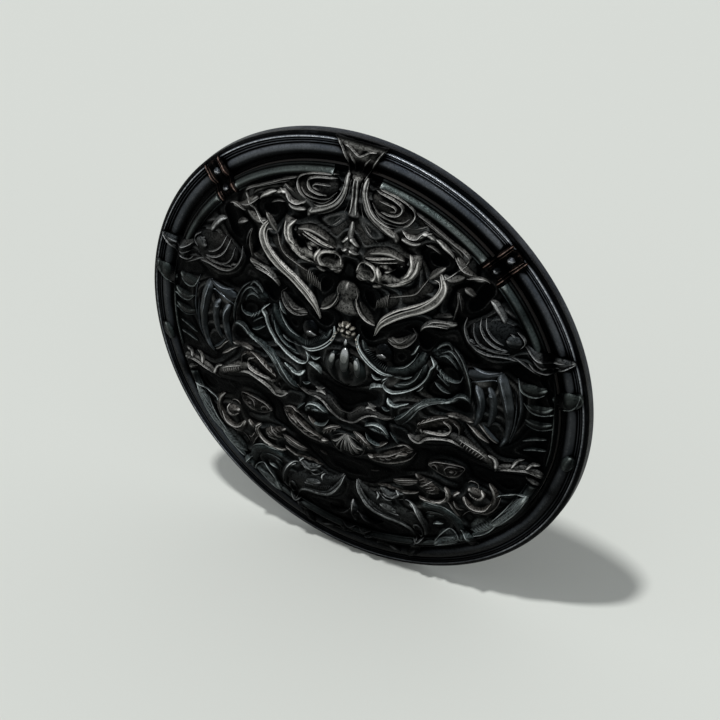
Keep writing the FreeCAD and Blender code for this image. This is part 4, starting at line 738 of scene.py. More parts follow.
budStrokes = [
    crag(15, 7, [(0, -190, 3), (0, -198, 10), (0, -208, 13), (0, -218, 9), (0, -228, 3)], 0.1),
    fold(3, 3, [(0, -192), (0, -206), (0, -222)], 0.5),
    fold(3.4, 3, [(5, -206), (10, -213), (18, -218), (27, -219), (36, -215)], 0.9),
    crag(7, 5, [(6, -212, 4), (14, -216, 8), (24, -218, 7), (34, -216, 3)], 0.15),
    (0, "rough", "both", 6, 4.6, [(8, -253), (14, -247), (21, -243)], -0.1),
    crag(8, 4, [(22, -258, 3), (32, -254, 7), (44, -256, 7), (54, -259, 3)], 0.0),
    fold(2.4, 2, [(25, -256), (34, -252), (46, -254)], 0.5),
    spine(5, 4.6, [(2, -236), (10, -240), (20, -235)], -0.2),
    (0, "round", "both", 9, 4.2, [(76, -236), (73, -250), (64, -262)], -0.6),
]
carve("bottom_bud", budStrokes, "black_relief")

sideScrollStrokes = [
    mass(44, 6.5, [(146, 104, 14), (158, 101, 34), (174, 101, 46), (190, 101, 44), (204, 99, 32),
        (213, 97, 14)], -0.35),
    (0, "keel", "none", 8, 7, [(144, 116, 2), (143, 104, 6), (148, 92, 9), (158, 82, 9), (172, 78, 8),
        (186, 79, 7), (198, 78, 5), (208, 75, 2)], 0.0),
    fold(4, 3, [(160, 120), (163, 108), (170, 98), (181, 91), (194, 88)], 0.35),
    fold(3, 2.4, [(166, 122), (170, 110), (178, 101), (190, 95)], 0.2),
    fold(3, 2.4, [(153, 112), (156, 98), (165, 88), (180, 84), (196, 84)], 0.1),
    (1, "round", "oval", 16, 3.6, [(192, 102), (210, 100)], -0.1),
    fold(3, 3, [(203, 113), (210, 107), (212, 100), (207, 93)], 0.9),
    fold(2.4, 2.2, [(196, 110), (203, 106), (205, 99)], 0.4),
    mass(10, 6, [(168, 142, 3), (174, 140, 9), (180, 133, 11), (186, 124, 9), (189, 117, 3)], 0.3),
    spine(4, 4.6, [(180, 122), (184, 116), (182, 108)], 0.1),
    mass(14, 6, [(206, 104, 3), (218, 93, 9), (231, 84, 15), (245, 80, 16), (258, 82, 12), (268, 86, 4)],
        -0.3),
    fold(2.4, 2.2, [(211, 99), (224, 88), (240, 82), (256, 84)], 0.3),
    fold(2.4, 2.2, [(208, 92), (222, 80), (236, 74), (250, 76)], 0.35),
    fold(3.4, 3.2, [(214, 78), (224, 68), (236, 65), (247, 70), (257, 76), (267, 84)], 1.0),
    spine(4, 4, [(190, 82), (203, 79), (216, 70), (230, 61)], 0.1),
    spine(5, 5, [(132, 143), (136, 132), (138, 120)], -0.3),
    *fringe([(146, 96), (156, 86), (172, 82), (190, 83)], 6, 1, 12, 3.4, 2.4),
]
carve("side_scrolls", sideScrollStrokes, "black_relief")

columnStrokes = [
    mass(15, 8, [(187, 58, 5), (189, 50, 13), (194, 34, 16), (199, 12, 15), (200, -12, 12), (196, -30, 8),
        (188, -44, 3)], 0.15),
    (1, "round", "both", 3.4, 1.4, [(188, 52), (194, 32), (199, 8)], 0.6),
    spine(5, 6, [(206, 54), (210, 36), (212, 12), (206, -16), (199, -36)], -0.1),
    mass(16, 7, [(148, 50, 7), (158, 47, 17), (170, 49, 14), (182, 53, 9), (192, 57, 3)], -0.3),
    fold(2.6, 2.2, [(150, 58), (160, 55), (172, 54), (186, 57)], 0.5),
    fold(2.6, 2.4, [(154, 37), (163, 41), (174, 45), (184, 47)], 0.5),
    mass(13, 7, [(160, 36, 6), (164, 26, 12), (167, 10, 12), (164, -8, 10), (158, -24, 4)], 0.05),
    (1, "round", "both", 4, 1.4, [(161, 32), (166, 22), (168, 8)], 0.7),
    mass(12, 6.5, [(174, 36, 6), (179, 26, 12), (181, 10, 12), (179, -6, 9), (174, -20, 4)], -0.05),
    (1, "round", "oval", 7, 1.2, [(175, 26), (181, 26)], 0.5),
    fold(2.6, 2.4, [(202, 48), (207, 20), (206, -8), (200, -30)], 0.1),
    spine(4, 5, [(140, 66), (148, 52), (151, 38), (152, 22)], 0.1),
    spine(5, 5, [(168, -16), (176, -28), (188, -38)], -0.2),
]
carve("temple_columns", columnStrokes, "black_relief", look="satin_relief")

cellStrokes = [
    mass(22, 3.6, [(244, 34, 6), (252, 33, 18), (262, 34, 22), (270, 38, 18), (276, 46, 6)], -0.3),
    fold(2.4, 1.6, [(250, 21), (262, 22), (271, 30), (275, 44)], 0.5),
    mass(18, 4.6, [(206, 44, 6), (216, 41, 16), (228, 40, 16), (238, 44, 6)], -0.6),
    fold(2.6, 2.4, [(207, 52), (211, 41), (219, 34), (229, 34), (236, 38)], 0.4),
    mass(14, 4.6, [(216, 22, 5), (226, 17, 13), (238, 17, 12), (246, 22, 4)], -0.65),
    fold(2.6, 2.4, [(214, 24), (224, 13), (236, 11), (248, 14)], 0.4),
    mass(12, 4.2, [(214, 2, 4), (224, -2, 11), (236, -3, 11), (246, 0, 4)], -0.7),
    fold(2.4, 2.2, [(214, -3), (226, -9), (238, -9), (247, -5)], 0.2),
    spine(5, 4.6, [(213, -29), (226, -24), (240, -22)], -0.6),
    spine(5, 4, [(214, -42), (227, -38), (240, -38)], -0.6),
    mass(14, 3.4, [(268, -40, 8), (264, -50, 15), (259, -61, 9)], -0.1),
    spine(3, 4, [(244, 58), (247, 40), (248, 10), (246, -30), (240, -60)], -0.2),
]
carve("side_cells", cellStrokes, "moulding_steel")

claspPlace = {"bearing": 44.0, "bars": 12.0, "studs": (268.0, 248.0)}


def claspPoint(away, sideways):
    bearing = math.radians(claspPlace["bearing"])
    return (away * math.sin(bearing) + sideways * math.cos(bearing),
            away * math.cos(bearing) - sideways * math.sin(bearing))


def claspRow(rows):
    return [claspPoint(*row[:2]) + tuple(row[2:]) for row in rows]


claspStrokes = [
    (0, "flute", "none", 26, 3.4, claspRow([(238, 0, 14), (248, 0, 22), (262, 0, 25), (276, 0, 22),
        (281, 0, 12)])),
]
for hand in (-1, 1):
    bar = hand * claspPlace["bars"]
    claspStrokes += [
        (0, "keel", "none", 5, 6, claspRow([(236, bar, 2), (241, bar, 4.6), (260, bar, 5.4),
            (276, bar, 4.6), (282, bar, 2)])),
        fold(2.4, 1.6, claspRow([(240, bar - 3 * hand), (258, bar - 3.4 * hand), (278, bar - 3 * hand)]))]
carve("clasps", claspStrokes, "clasp_iron")

studStrokes = []
for away in claspPlace["studs"]:
    x, y = claspPoint(away, 0)
    studStrokes += [oval(1, x, y, 4.6, 9.2, 3.6), oval(2, x - 1, y + 1, 2, 4, 0.8)]
carve("clasp_studs", studStrokes, "stud_steel")
print("lower ornament and clasps drawn")

# Profiles turned about the axis, in millimetres: distance out and height over the rim's front plane
hoop = {"lip": 252.0, "around": 288, "behind": -8, "flange": -12, "flangeShade": 0.3, "sharp": 55}
hoopFront = [(252.0, 1.6), (252.3, 2.6), (253.0, 3.1), (253.9, 3.2), (254.7, 2.7), (255.2, 1.9),
    (256.0, 1.5), (257.0, 1.7), (257.7, 2.6)]
hoopFront += [(257.7 + 13.6 * k / 12, 2.4 + 2.75 * math.sin(math.pi * k / 12)**0.8) for k in range(1, 12)]
hoopFront += [(271.4, 2.2), (271.8, 1.2), (272.3, 1.2)]
hoopFront += [(273.3 - 1.0 * math.cos(math.pi * k / 6), 1.3 + 1.7 * math.sin(math.pi * k / 6))
    for k in range(7)]
hoopFront += [(274.7, 1.0), (275.0, 1.2)]
hoopFront += [(276.2 - 1.0 * math.cos(math.pi * k / 6), 1.3 + 1.7 * math.sin(math.pi * k / 6))
    for k in range(7)]
hoopFront += [(277.6, 1.0), (277.9, 1.2)]
hoopFront += [(279.3 - 1.2 * math.cos(math.pi * k / 6), 1.3 + 2.2 * math.sin(math.pi * k / 6))
    for k in range(7)]
hoopFront += [(280.9, 0.9), (281.6, 1.0), (282.6, 1.0), (283.6, 0.6), (284.5, 0.1), (285.0, -0.9)]
hoopBack = [(285.0, -2.2), (284.7, -3.2), (284.7, -9.6), (285.0, -10.6), (285.0, -11.5), (283.6, -12.85),
    (255.0, -12.85), (255.0, -11.0), (282.8, -11.0), (282.8, -0.6), (252.0, -0.6)]

moulding = {"inner": 236.0, "outer": 251.4, "around": 96}
bandShapes = [(0.0, 1.2), (0.03, 2.6), (0.08, 3.2), (0.12, 2.6), (0.15, 1.9), (0.20, 2.6), (0.28, 4.0),
    (0.36, 5.0), (0.44, 5.5), (0.52, 5.6), (0.60, 5.2), (0.67, 4.2), (0.72, 2.8), (0.77, 1.8), (0.82, 1.5),
    (0.88, 2.0), (0.92, 2.2), (0.96, 1.8), (1.0, 1.3)]
bandFront = [(moulding["inner"] + (moulding["outer"] - moulding["inner"]) * share,
              float(ground(moulding["inner"] + (moulding["outer"] - moulding["inner"]) * share)) + high)
             for share, high in bandShapes]
bandBack = [(251.4, float(ground(251.4)) + 0.3), (236.0, float(ground(236.0)) + 0.3)]
bandArcs = {"moulding_tops": (7.0, 40.0), "moulding_sides": (48.0, 73.0),
    "moulding_bottoms": (112.0, 180.0)}


def enabled(sockets, key):
    # the socket at that place, or the one of that name that is in use
    found = sockets[key]
    if isinstance(key, str) and not found.enabled:
        found = next(entry for entry in sockets if entry.name == key and entry.enabled)
    return found


class Wire:
    # a shader socket that takes part in sums
    def __init__(self, finish, socket):
        self.finish = finish
        self.socket = socket

    def sum(self, operation, first, second):
        return self.finish.node("ShaderNodeMath", {"operation": operation}, {0: first, 1: second})

    def __add__(self, other): return self.sum("ADD", self, other)
    def __radd__(self, other): return self.sum("ADD", other, self)
    def __sub__(self, other): return self.sum("SUBTRACT", self, other)
    def __rsub__(self, other): return self.sum("SUBTRACT", other, self)
    def __mul__(self, other): return self.sum("MULTIPLY", self, other)
    def __rmul__(self, other): return self.sum("MULTIPLY", other, self)


class Finish:
    # one material and the nodes that it is made of
    def __init__(self, name):
        self.material = bpy.data.materials.new(name)
        self.material.use_nodes = True
        self.tree = self.material.node_tree
        self.tree.nodes.clear()
        self.place = self.node("ShaderNodeTexCoord", {}, {}, "Object")

    def node(self, kind, settings=None, sockets=None, output=0):
        # settings go in first, then values or links
        made = self.tree.nodes.new(kind)
        for key, value in (settings or {}).items():
            setattr(made, key, value)
        for key, value in (sockets or {}).items():
            socket = enabled(made.inputs, key)
            if isinstance(value, Wire):
                self.tree.links.new(value.socket, socket)
            else:
                socket.default_value = value
        return Wire(self, enabled(made.outputs, output))

    def noise(self, scale, detail=4, roughness=0.55, stretch=None):
        where = self.place
        if stretch:
            where = self.node("ShaderNodeMapping", {}, {"Vector": where, "Scale": stretch})
        return self.node("ShaderNodeTexNoise", {},
            {"Vector": where, "Scale": scale, "Detail": detail, "Roughness": roughness}, "Fac")

    def cells(self, scale):
        return self.node("ShaderNodeTexVoronoi", {"feature": "F1"}, {"Vector": self.place, "Scale": scale},
            "Distance")

    def carried(self, name):
        return self.node("ShaderNodeAttribute", {"attribute_name": name}, {}, "Fac")

    def between(self, value, low, high):
        # 0 below the low value and 1 above the high one
        return self.node("ShaderNodeMapRange", {"interpolation_type": "SMOOTHSTEP"},
                         {"Value": value, "From Min": low, "From Max": high})

    def mixed(self, share, first, second):
        return self.node("ShaderNodeMix", {"data_type": "RGBA", "blend_type": "MIX", "clamp_factor": True},
                         {"Factor": share, "A": self.colour(first), "B": self.colour(second)}, "Result")

    def colour(self, value):
        return value if isinstance(value, Wire) else (*value, 1)

    def bump(self, height, strength, distance):
        sockets = {"Height": height, "Strength": strength, "Distance": distance}
        return self.node("ShaderNodeBump", {}, sockets, "Normal")

    def done(self, shader):
        end = self.tree.nodes.new("ShaderNodeOutputMaterial")
        self.tree.links.new(shader.socket, end.inputs["Surface"])
        return self.material


def carvedMetal(name, look):
    # dark metal: black in its hollows from blackened oxide and painted shade, darker on faces turned down
    # from painted shade, and brightened on edges and crests by wear and painted highlights
    finish = Finish(name)
    edge = finish.carried("edge")
    lift = finish.carried("lift")
    paintedShade = finish.carried("paintedShade")
    skyward = finish.carried("skyward")
    tone = finish.carried("tone")
    alongStroke = finish.node("ShaderNodeCombineXYZ", {},
        {"X": finish.carried("strip") * 1.7, "Y": finish.carried("run") * 0.16})
    streaks = finish.node("ShaderNodeTexNoise", {},
        {"Vector": alongStroke, "Scale": 1.0, "Detail": 3, "Roughness": 0.6}, "Fac")
    hollowNoise = finish.noise(38, 5, 0.6)
    grain = finish.noise(look["grain"], 4, 0.7)
    fleck = finish.cells(520)
    # blackened oxide and painted shade: hollows, read from the height below the broad blur, and fine
    # grooves go towards the near-black recess colour
    open_ = finish.between(lift + (hollowNoise - 0.5) * 3.4 + (streaks - 0.5) * 1.6, look["hollow"], look["open"])
    groove = finish.between(edge + (grain - 0.5) * 0.8, look["groove"], look["groove"] + 1.1)
    # painted shade: corners whose normals turn down are darkened and those turned up kept bright, as if lit
    # from above
    lit = look["shade"] + finish.between(skyward + (grain - 0.5) * 0.25, -0.2, 0.5) * (1 - look["shade"])
    patches = finish.between(finish.noise(11, 5, 0.65), 0.56, 0.66) * look["patches"]
    # painted shadows from the patch map, lifted a little in random patches
    unshaded = 1 - paintedShade * look["shadeStrength"] * (1 - patches)
    raised = open_ * groove * lit * unshaded
    ridge = edge * look["byEdge"] + finish.carried("crest") * look["byCrest"]
    ragged = ridge + (grain - 0.5) * look["patchy"] + (streaks - 0.5) * 1.2
    byTone = look["plain"] + finish.between(tone, -0.3, 0.7) * (1 - look["plain"])
    # crests and edges brightened: partly wear, partly a painted highlight and sheen, kept to faces turned
    # up and out of the painted shadows
    brightened = finish.between(ragged, look["brightFrom"],
        look["brightTo"]) * lit * unshaded * (0.2 + 0.8 * open_) * byTone
    crest = finish.mixed(finish.between(grain, 0.35, 0.65), look["crest"], look["crestTwo"])
    tint = finish.mixed(finish.between(finish.noise(13, 3), 0.4, 0.62), look["body"], look["bodyTwo"])
    tint = finish.mixed(tone * look["toned"], tint, crest)
    tint = finish.mixed(tone * -1.0, tint, look["recess"])
    tint = finish.mixed(finish.between(streaks, 0.36, 0.66) * look["streaky"], tint, look["recess"])
    tint = finish.mixed(finish.between(grain, 0.44, 0.62) * look["speckle"], tint, look["recess"])
    base = finish.mixed(raised, look["recess"], tint)
    base = finish.mixed(brightened, base, crest)
    rough = look["rough"] + (grain - 0.5) * 0.2 + (1 - raised) * 0.2 - brightened * 0.06
    pits = finish.between(fleck, 0.0, 0.35) * look["pits"]
    height = grain * 0.9 + streaks * 0.5 + finish.noise(95, 3) * 1.0 + pits
    shader = finish.node("ShaderNodeBsdfPrincipled", {}, {
        "Base Color": base, "Metallic": 1 - look["matte"] - brightened * look["dulled"], "Roughness": rough,
        "Specular IOR Level": 0.0,
        "Normal": finish.bump(height, look["bump"], 0.0009)}, "BSDF")
    return finish.done(shader)


# recess is the near-black of the hollows: blackened oxide and painted shade
steelLook = {"grain": 400, "speckle": 0.85, "patches": 0.0, "hollow": -1.5, "open": 1.9, "groove": -1.3,
    "shadeStrength": 1.0, "patchy": 1.1, "brightFrom": 1.0, "brightTo": 2.6, "matte": 0.5, "dulled": 0.4, "byEdge": 0.5,
    "byCrest": 2.2, "toned": 0.28, "plain": 0.3, "shade": 0.09, "streaky": 0.35,
    "recess": (0.0003, 0.0004, 0.0005), "body": (0.060, 0.068, 0.072), "bodyTwo": (0.098, 0.096, 0.090),
    "crest": (0.52, 0.54, 0.545), "crestTwo": (0.95, 0.96, 0.95), "rough": 0.36, "pits": 0.6, "bump": 0.85}
carvedLooks = {
    "black_relief": {},
    "pale_relief": {"body": (0.10, 0.102, 0.099), "bodyTwo": (0.14, 0.136, 0.125),
        "crest": (0.66, 0.66, 0.64), "crestTwo": (1.0, 0.99, 0.95)},
    "warm_relief": {"body": (0.070, 0.066, 0.060), "bodyTwo": (0.10, 0.092, 0.083),
        "crest": (0.56, 0.55, 0.53), "crestTwo": (0.95, 0.93, 0.89)},
    "leaf_relief": {"body": (0.070, 0.078, 0.080), "bodyTwo": (0.105, 0.112, 0.110),
        "crest": (0.46, 0.49, 0.49), "crestTwo": (0.84, 0.87, 0.86), "streaky": 0.5},
    "panel_relief": {"body": (0.085, 0.105, 0.110), "bodyTwo": (0.14, 0.16, 0.16),
        "crest": (0.42, 0.48, 0.48), "crestTwo": (0.78, 0.84, 0.83), "rough": 0.3, "streaky": 0.6,
        "shade": 0.7},
    "teal_relief": {"body": (0.044, 0.060, 0.062), "bodyTwo": (0.066, 0.080, 0.080),
        "crest": (0.50, 0.56, 0.56), "crestTwo": (0.86, 0.95, 0.94)},
    "bone_relief": {"body": (0.15, 0.15, 0.142), "bodyTwo": (0.27, 0.265, 0.245),
        "crest": (0.70, 0.69, 0.65), "crestTwo": (1.0, 0.98, 0.93), "rough": 0.48, "pits": 1.8, "bump": 0.9,
        "hollow": -1.4, "open": 1.4, "streaky": 0.35, "shade": 0.25},
    "bright_relief": {"toned": 0.62, "body": (0.075, 0.075, 0.071), "bodyTwo": (0.105, 0.10, 0.092),
        "crest": (0.80, 0.79, 0.75), "crestTwo": (1.0, 0.98, 0.93), "rough": 0.32, "brightFrom": 0.8,
        "brightTo": 2.6, "shadeStrength": 0.5, "shade": 0.35, "streaky": 0.45, "hollow": -1.6, "open": 1.2},
    "gilt_relief": {"body": (0.20, 0.19, 0.16), "bodyTwo": (0.30, 0.28, 0.235), "crest": (0.60, 0.57, 0.50),
        "crestTwo": (0.88, 0.85, 0.77), "rough": 0.42, "pits": 1.8, "bump": 0.9, "shadeStrength": 0.3},
    "nose_gloss": {"matte": 0.0, "toned": 0.8, "body": (0.022, 0.028, 0.029),
        "bodyTwo": (0.034, 0.042, 0.043), "crest": (0.60, 0.63, 0.63), "crestTwo": (0.90, 0.92, 0.91),
        "rough": 0.2, "pits": 0.1, "bump": 0.12, "shadeStrength": 0.7, "brightFrom": 3.0, "brightTo": 6.0,
        "streaky": 0.15, "shade": 0.1, "speckle": 0.15},
    "eye_gloss": {"matte": 0.0, "toned": 0.5, "body": (0.006, 0.007, 0.008),
        "bodyTwo": (0.009, 0.010, 0.011), "crest": (0.50, 0.52, 0.52), "crestTwo": (0.85, 0.86, 0.85),
        "rough": 0.2, "bump": 0.2, "shadeStrength": 0.2, "brightFrom": 9.0, "brightTo": 10.0},
    "satin_relief": {"matte": 0.2, "body": (0.040, 0.052, 0.060), "bodyTwo": (0.064, 0.072, 0.078),
        "crest": (0.26, 0.30, 0.34), "crestTwo": (0.46, 0.50, 0.54), "rough": 0.25, "pits": 0.1,
        "bump": 0.25, "streaky": 0.35, "speckle": 0.25, "hollow": -1.8, "open": 1.2},
    "moulding_steel": {"matte": 0.15, "byEdge": 1.0, "plain": 1.0, "hollow": -1.6, "open": 2.2,
        "body": (0.048, 0.062, 0.062), "bodyTwo": (0.080, 0.094, 0.089), "crest": (0.19, 0.22, 0.215),
        "crestTwo": (0.38, 0.42, 0.41), "rough": 0.3, "shadeStrength": 1.0, "speckle": 0.45, "brightFrom": 1.0,
        "streaky": 0.3},
    # a lighter copy of the moulding finish, with painted light, for the bottom arcs
    "moulding_lit": {"matte": 0.6, "byEdge": 1.0, "plain": 1.0, "hollow": -1.8, "open": 1.6, "shade": 0.3,
        "body": (0.11, 0.135, 0.138), "bodyTwo": (0.19, 0.215, 0.212), "crest": (0.30, 0.34, 0.335),
        "crestTwo": (0.60, 0.65, 0.63), "rough": 0.3, "speckle": 0.4, "streaky": 0.7},
    "rim_steel": {"matte": 0.15, "byEdge": 1.0, "plain": 1.0, "hollow": -2.0, "open": 1.6, "groove": -0.8,
        "body": (0.083, 0.095, 0.112), "bodyTwo": (0.140, 0.151, 0.168), "crest": (0.30, 0.33, 0.37),
        "crestTwo": (0.70, 0.73, 0.76), "rough": 0.27, "pits": 0.2, "brightFrom": 0.5, "brightTo": 2.0,
        "shadeStrength": 1.0, "speckle": 0.45, "streaky": 0.3, "patches": 0.4, "shade": 0.06},
    "ground_steel": {"byEdge": 1.0, "plain": 1.0, "hollow": -0.6, "open": 4.2, "groove": -0.9,
        "body": (0.042, 0.048, 0.050), "bodyTwo": (0.062, 0.062, 0.058), "crest": (0.14, 0.15, 0.15),
        "crestTwo": (0.28, 0.28, 0.275), "rough": 0.42, "brightFrom": 0.5, "brightTo": 2.2, "patchy": 1.8,
        "bump": 0.8},
    "clasp_iron": {"plain": 0.6, "body": (0.012, 0.011, 0.010), "bodyTwo": (0.020, 0.015, 0.013),
        "crest": (0.30, 0.17, 0.13), "crestTwo": (0.48, 0.36, 0.31), "rough": 0.38, "pits": 0.7,
        "brightFrom": 0.8},
    "stud_steel": {"plain": 0.6, "body": (0.10, 0.115, 0.13), "bodyTwo": (0.15, 0.16, 0.18),
        "crest": (0.4, 0.43, 0.46), "crestTwo": (0.7, 0.71, 0.71), "rough": 0.24},
}
finishes = {name: carvedMetal(name, {**steelLook, **look}) for name, look in carvedLooks.items()}
print("metal finishes made")


def linked(name, data):
    made = bpy.data.objects.new(name, data)
    bpy.context.scene.collection.objects.link(made)
    return made


def addFields(mesh, fields):
    # one number for each corner, by name, for the finish to read
    for key, values in fields.items():
        mesh.attributes.new(key, "FLOAT", "POINT").data.foreach_set("value", np.asarray(values, np.float32))


def smoothen(mesh):
    mesh.polygons.foreach_set("use_smooth", [True] * len(mesh.polygons))


def coat(mesh, finish):
    mesh.materials.clear()
    mesh.materials.append(finish)


def meshObject(name, corners, faces, finish, fields=None, smooth=True):
    mesh = bpy.data.meshes.new(name)
    mesh.from_pydata(corners.tolist() if hasattr(corners, "tolist") else corners, [], faces)
    addFields(mesh, fields or {})
    mesh.materials.append(finish)
    if smooth:
        smoothen(mesh)
    mesh.update()
    return linked(name, mesh)


def ridesOn(made, body, slotName, *replaced):
    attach(made, body)
    if replaced:
        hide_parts(*replaced)
    return made


def volumeOf(corners, faces):
    total = 0.0
    for face in faces:
        face = np.asarray(face)
        first = corners[face[..., 0]]
        for k in range(1, face.shape[-1] - 1):
            total += np.sum(first * np.cross(corners[face[..., k]], corners[face[..., k + 1]]))
    return total


# The map starts with the sheet's swells, and with the rim and the mouldings where they stand
gridAcross, gridUp = np.meshgrid(np.arange(-reach, reach + 1.0), np.arange(-reach, reach + 1.0))
gridRadius = np.hypot(gridAcross, gridUp)


def sheetHeight(across, up):
    high = 0.5 * wobble(across, up, 11, 3) + 0.35 * wobble(across, up, 5, 7)
    for x, y, wide, tall, rise in sheetSwells:
        for side in ((1, -1) if x else (1,)):
            high = high + rise * np.exp(-0.5 * (((across - side * x) / wide)**2 + ((up - y) / tall)**2))
    fade = np.clip((245 - np.hypot(across, up)) / 12, 0, 1)
    return np.maximum(high * fade, -0.9)


def alongProfile(points, radius):
    distances = np.array([point[0] for point in points])
    heights = np.array([point[1] for point in points])
    return np.interp(radius, distances, heights)


relief = sheetHeight(np.abs(gridAcross), gridUp)
hoopHere = gridRadius >= hoop["lip"]
relief = np.where(hoopHere, alongProfile(hoopFront, gridRadius) - ground(gridRadius), relief)
bearings = np.degrees(np.abs(np.arctan2(gridAcross, gridUp)))
for first, last in bandArcs.values():
    here = (gridRadius >= moulding["inner"]) & (gridRadius < moulding["outer"])
    here &= (bearings >= first) & (bearings <= last)
    raised = np.maximum(alongProfile(bandFront, gridRadius) - ground(gridRadius), relief)
    relief = np.where(here, raised, relief)

base = blurred(relief, 2.0)
for layer in (0, 1, 2):
    laid = []
    for carving in carvings:
        for stroke in carving["strokes"]:
            if stroke[0] == layer:
                laid.append(ribbon(stroke, base))
                carving["parts"].append((laid[-1], centred(stroke[5])))
    for across, up, high, *_ in laid:
        stamp(relief, across, up, high)
    base = blurred(relief, 2.2 if layer == 0 else 1.4)
    print("relief layer", layer, "laid:", len(laid), "strokes")

finely = blurred(relief, 3.0)
broadly = blurred(relief, 9.0)

# Painted shadows, where the face is painted black for the shade between and under its forms: across, up,
# spreads and how black
shadowPatches = [
    (0, -262, 190, 30, 0.9), (150, -232, 60, 20, 0.7), (252, -120, 12, 40, 0.5), (188, 62, 46, 7, 1.0),
    (120, 74, 26, 8, 0.8), (46, 38, 15, 9, 0.7), (0, -18, 20, 18, 1.0), (0, -42, 16, 14, 0.9),
    (18, -70, 12, 9, 0.7), (0, -126, 58, 13, 1.0), (60, -122, 34, 7, 0.8), (168, -92, 54, 9, 1.0),
    (100, -76, 22, 9, 0.9), (230, -98, 22, 8, 0.9), (34, -214, 44, 9, 1.0), (20, -236, 60, 9, 0.8),
    (98, -196, 8, 22, 0.7), (98, 178, 22, 7, 0.9), (66, 184, 18, 5, 0.6), (146, 142, 12, 26, 0.8),
    (118, 120, 10, 16, 0.6), (224, -14, 14, 44, 0.75), (146, 10, 8, 36, 0.7), (60, -40, 26, 8, 0.6),
    (20, 92, 9, 12, 0.8), (12, 118, 12, 8, 0.7), (76, 78, 30, 8, 0.7), (120, -8, 24, 9, 0.5),
    (40, -138, 40, 6, 0.7), (150, -150, 18, 9, 0.5), (0, 30, 14, 8, 0.5), (210, 130, 16, 10, 0.6),
    (150, -66, 40, 8, 0.7)]

# Rings of painted shade in the channels beside the mouldings and at the hoop's outer edge: from and to
# which radius, and how black
shadowRings = [(281.2, 290, 0.94), (247.9, 257.6, 0.97), (232.5, 236.2, 0.6), (271.6, 272.6, 0.8),
    (275.4, 276.6, 0.8)]


def shadingAt(across, up):
    # painted shade: the dents, the channels by the mouldings and the listed patches are darkened where
    # shade falls, from 0 to 1
    unshaded = np.ones_like(across)
    for x, y, wide, tall, deep in dents:
        away = ((np.abs(across) - x) / wide)**2 + ((up - y) / tall)**2
        unshaded = unshaded * (1 - 0.75 * np.exp(-0.5 * away**2))
    radius = np.hypot(across, up)
    for first, last, black in shadowRings:
        dark = black * np.clip((radius - first) / 0.6 + 0.5, 0, 1) * np.clip((last - radius) / 0.6 + 0.5, 0,
            1)
        unshaded = unshaded * (1 - dark)
    across = across + 5 * wobble(across, up, 16, 21)
    up = up + 5 * wobble(across, up, 13, 33)
    for x, y, wide, tall, black in shadowPatches:
        away = ((np.abs(across) - x) / wide)**2 + ((up - y) / tall)**2
        unshaded = unshaded * (1 - black * np.exp(-0.55 * away**1.5))
    return 1 - unshaded


def fieldsAt(across, up, high):
    return {"edge": high - sampled(finely, across, up), "lift": high - sampled(broadly, across, up),
        "paintedShade": shadingAt(across, up)}


def addSkyward(made, unshaded=slice(0)):
    # how far each corner faces up, which the finish uses to paint shade on faces turned down; the unshaded
    # corners count as half turned up
    mesh = made.data
    normals = np.empty(len(mesh.vertices) * 3, np.float32)
    mesh.vertex_normals.foreach_get("vector", normals)
    skyward = normals.reshape(-1, 3)[:, 2].copy()
    skyward[unshaded] = np.maximum(skyward[unshaded], 0.3)
    addFields(mesh, {"skyward": skyward})


def carvedObject(name, parts, finish, sides):
    corners, faces, start = [], [], 0
    fields = {"edge": [], "lift": [], "paintedShade": [], "strip": [], "run": [], "tone": [], "crest": []}
    for sheet, alone in parts:
        x, y, h, quads, caps, marks = closedRibbon(*sheet)
        place = onFace(x, y, h)
        faceRows = [quads] + [cap[None, :] for cap in caps]
        if volumeOf(place, faceRows) < 0:
            faceRows = [rows[:, ::-1] for rows in faceRows]
        values = {**fieldsAt(x, y, h), **marks}
        for side in ((1,) if alone and 1 in sides else sides):
            rows = faceRows if side == 1 else [entry[:, ::-1] for entry in faceRows]
            corners.append(place * (side, 1, 1))
            for entry in rows:
                faces.extend((entry + start).tolist())
            for key in fields:
                fields[key].append(values[key])
            start += len(place)
    made = meshObject(name, np.vstack(corners), faces, finish,
        {key: np.concatenate(rows) for key, rows in fields.items()})
    addSkyward(made)
    return made


count = 0
for carving in carvings:
    finish = finishes[carving["look"]]
    if carving["sided"]:
        for word, side in (("right", 1), ("left", -1)):
            name = carving["name"] + "_" + word
            made = carvedObject(name + "_relief", carving["parts"], finish, (side,))
            ridesOn(made, "shield", carving["slot"], name)
            count += len(made.data.polygons)
    else:
        made = carvedObject(carving["name"] + "_relief", carving["parts"], finish, (1, -1))
        ridesOn(made, "shield", carving["slot"], carving["name"])
        count += len(made.data.polygons)
print("carved pieces built, faces:", count)

# The embossed sheet that the ornament lies on
sheetPiece = {"radius": 251.7, "thickness": 1.1, "cells": 268, "grooves": 0.7, "swell": 0.55,
    "flowSpread": 2.6, "backRings": (0.97, 0.8, 0.55, 0.3)}


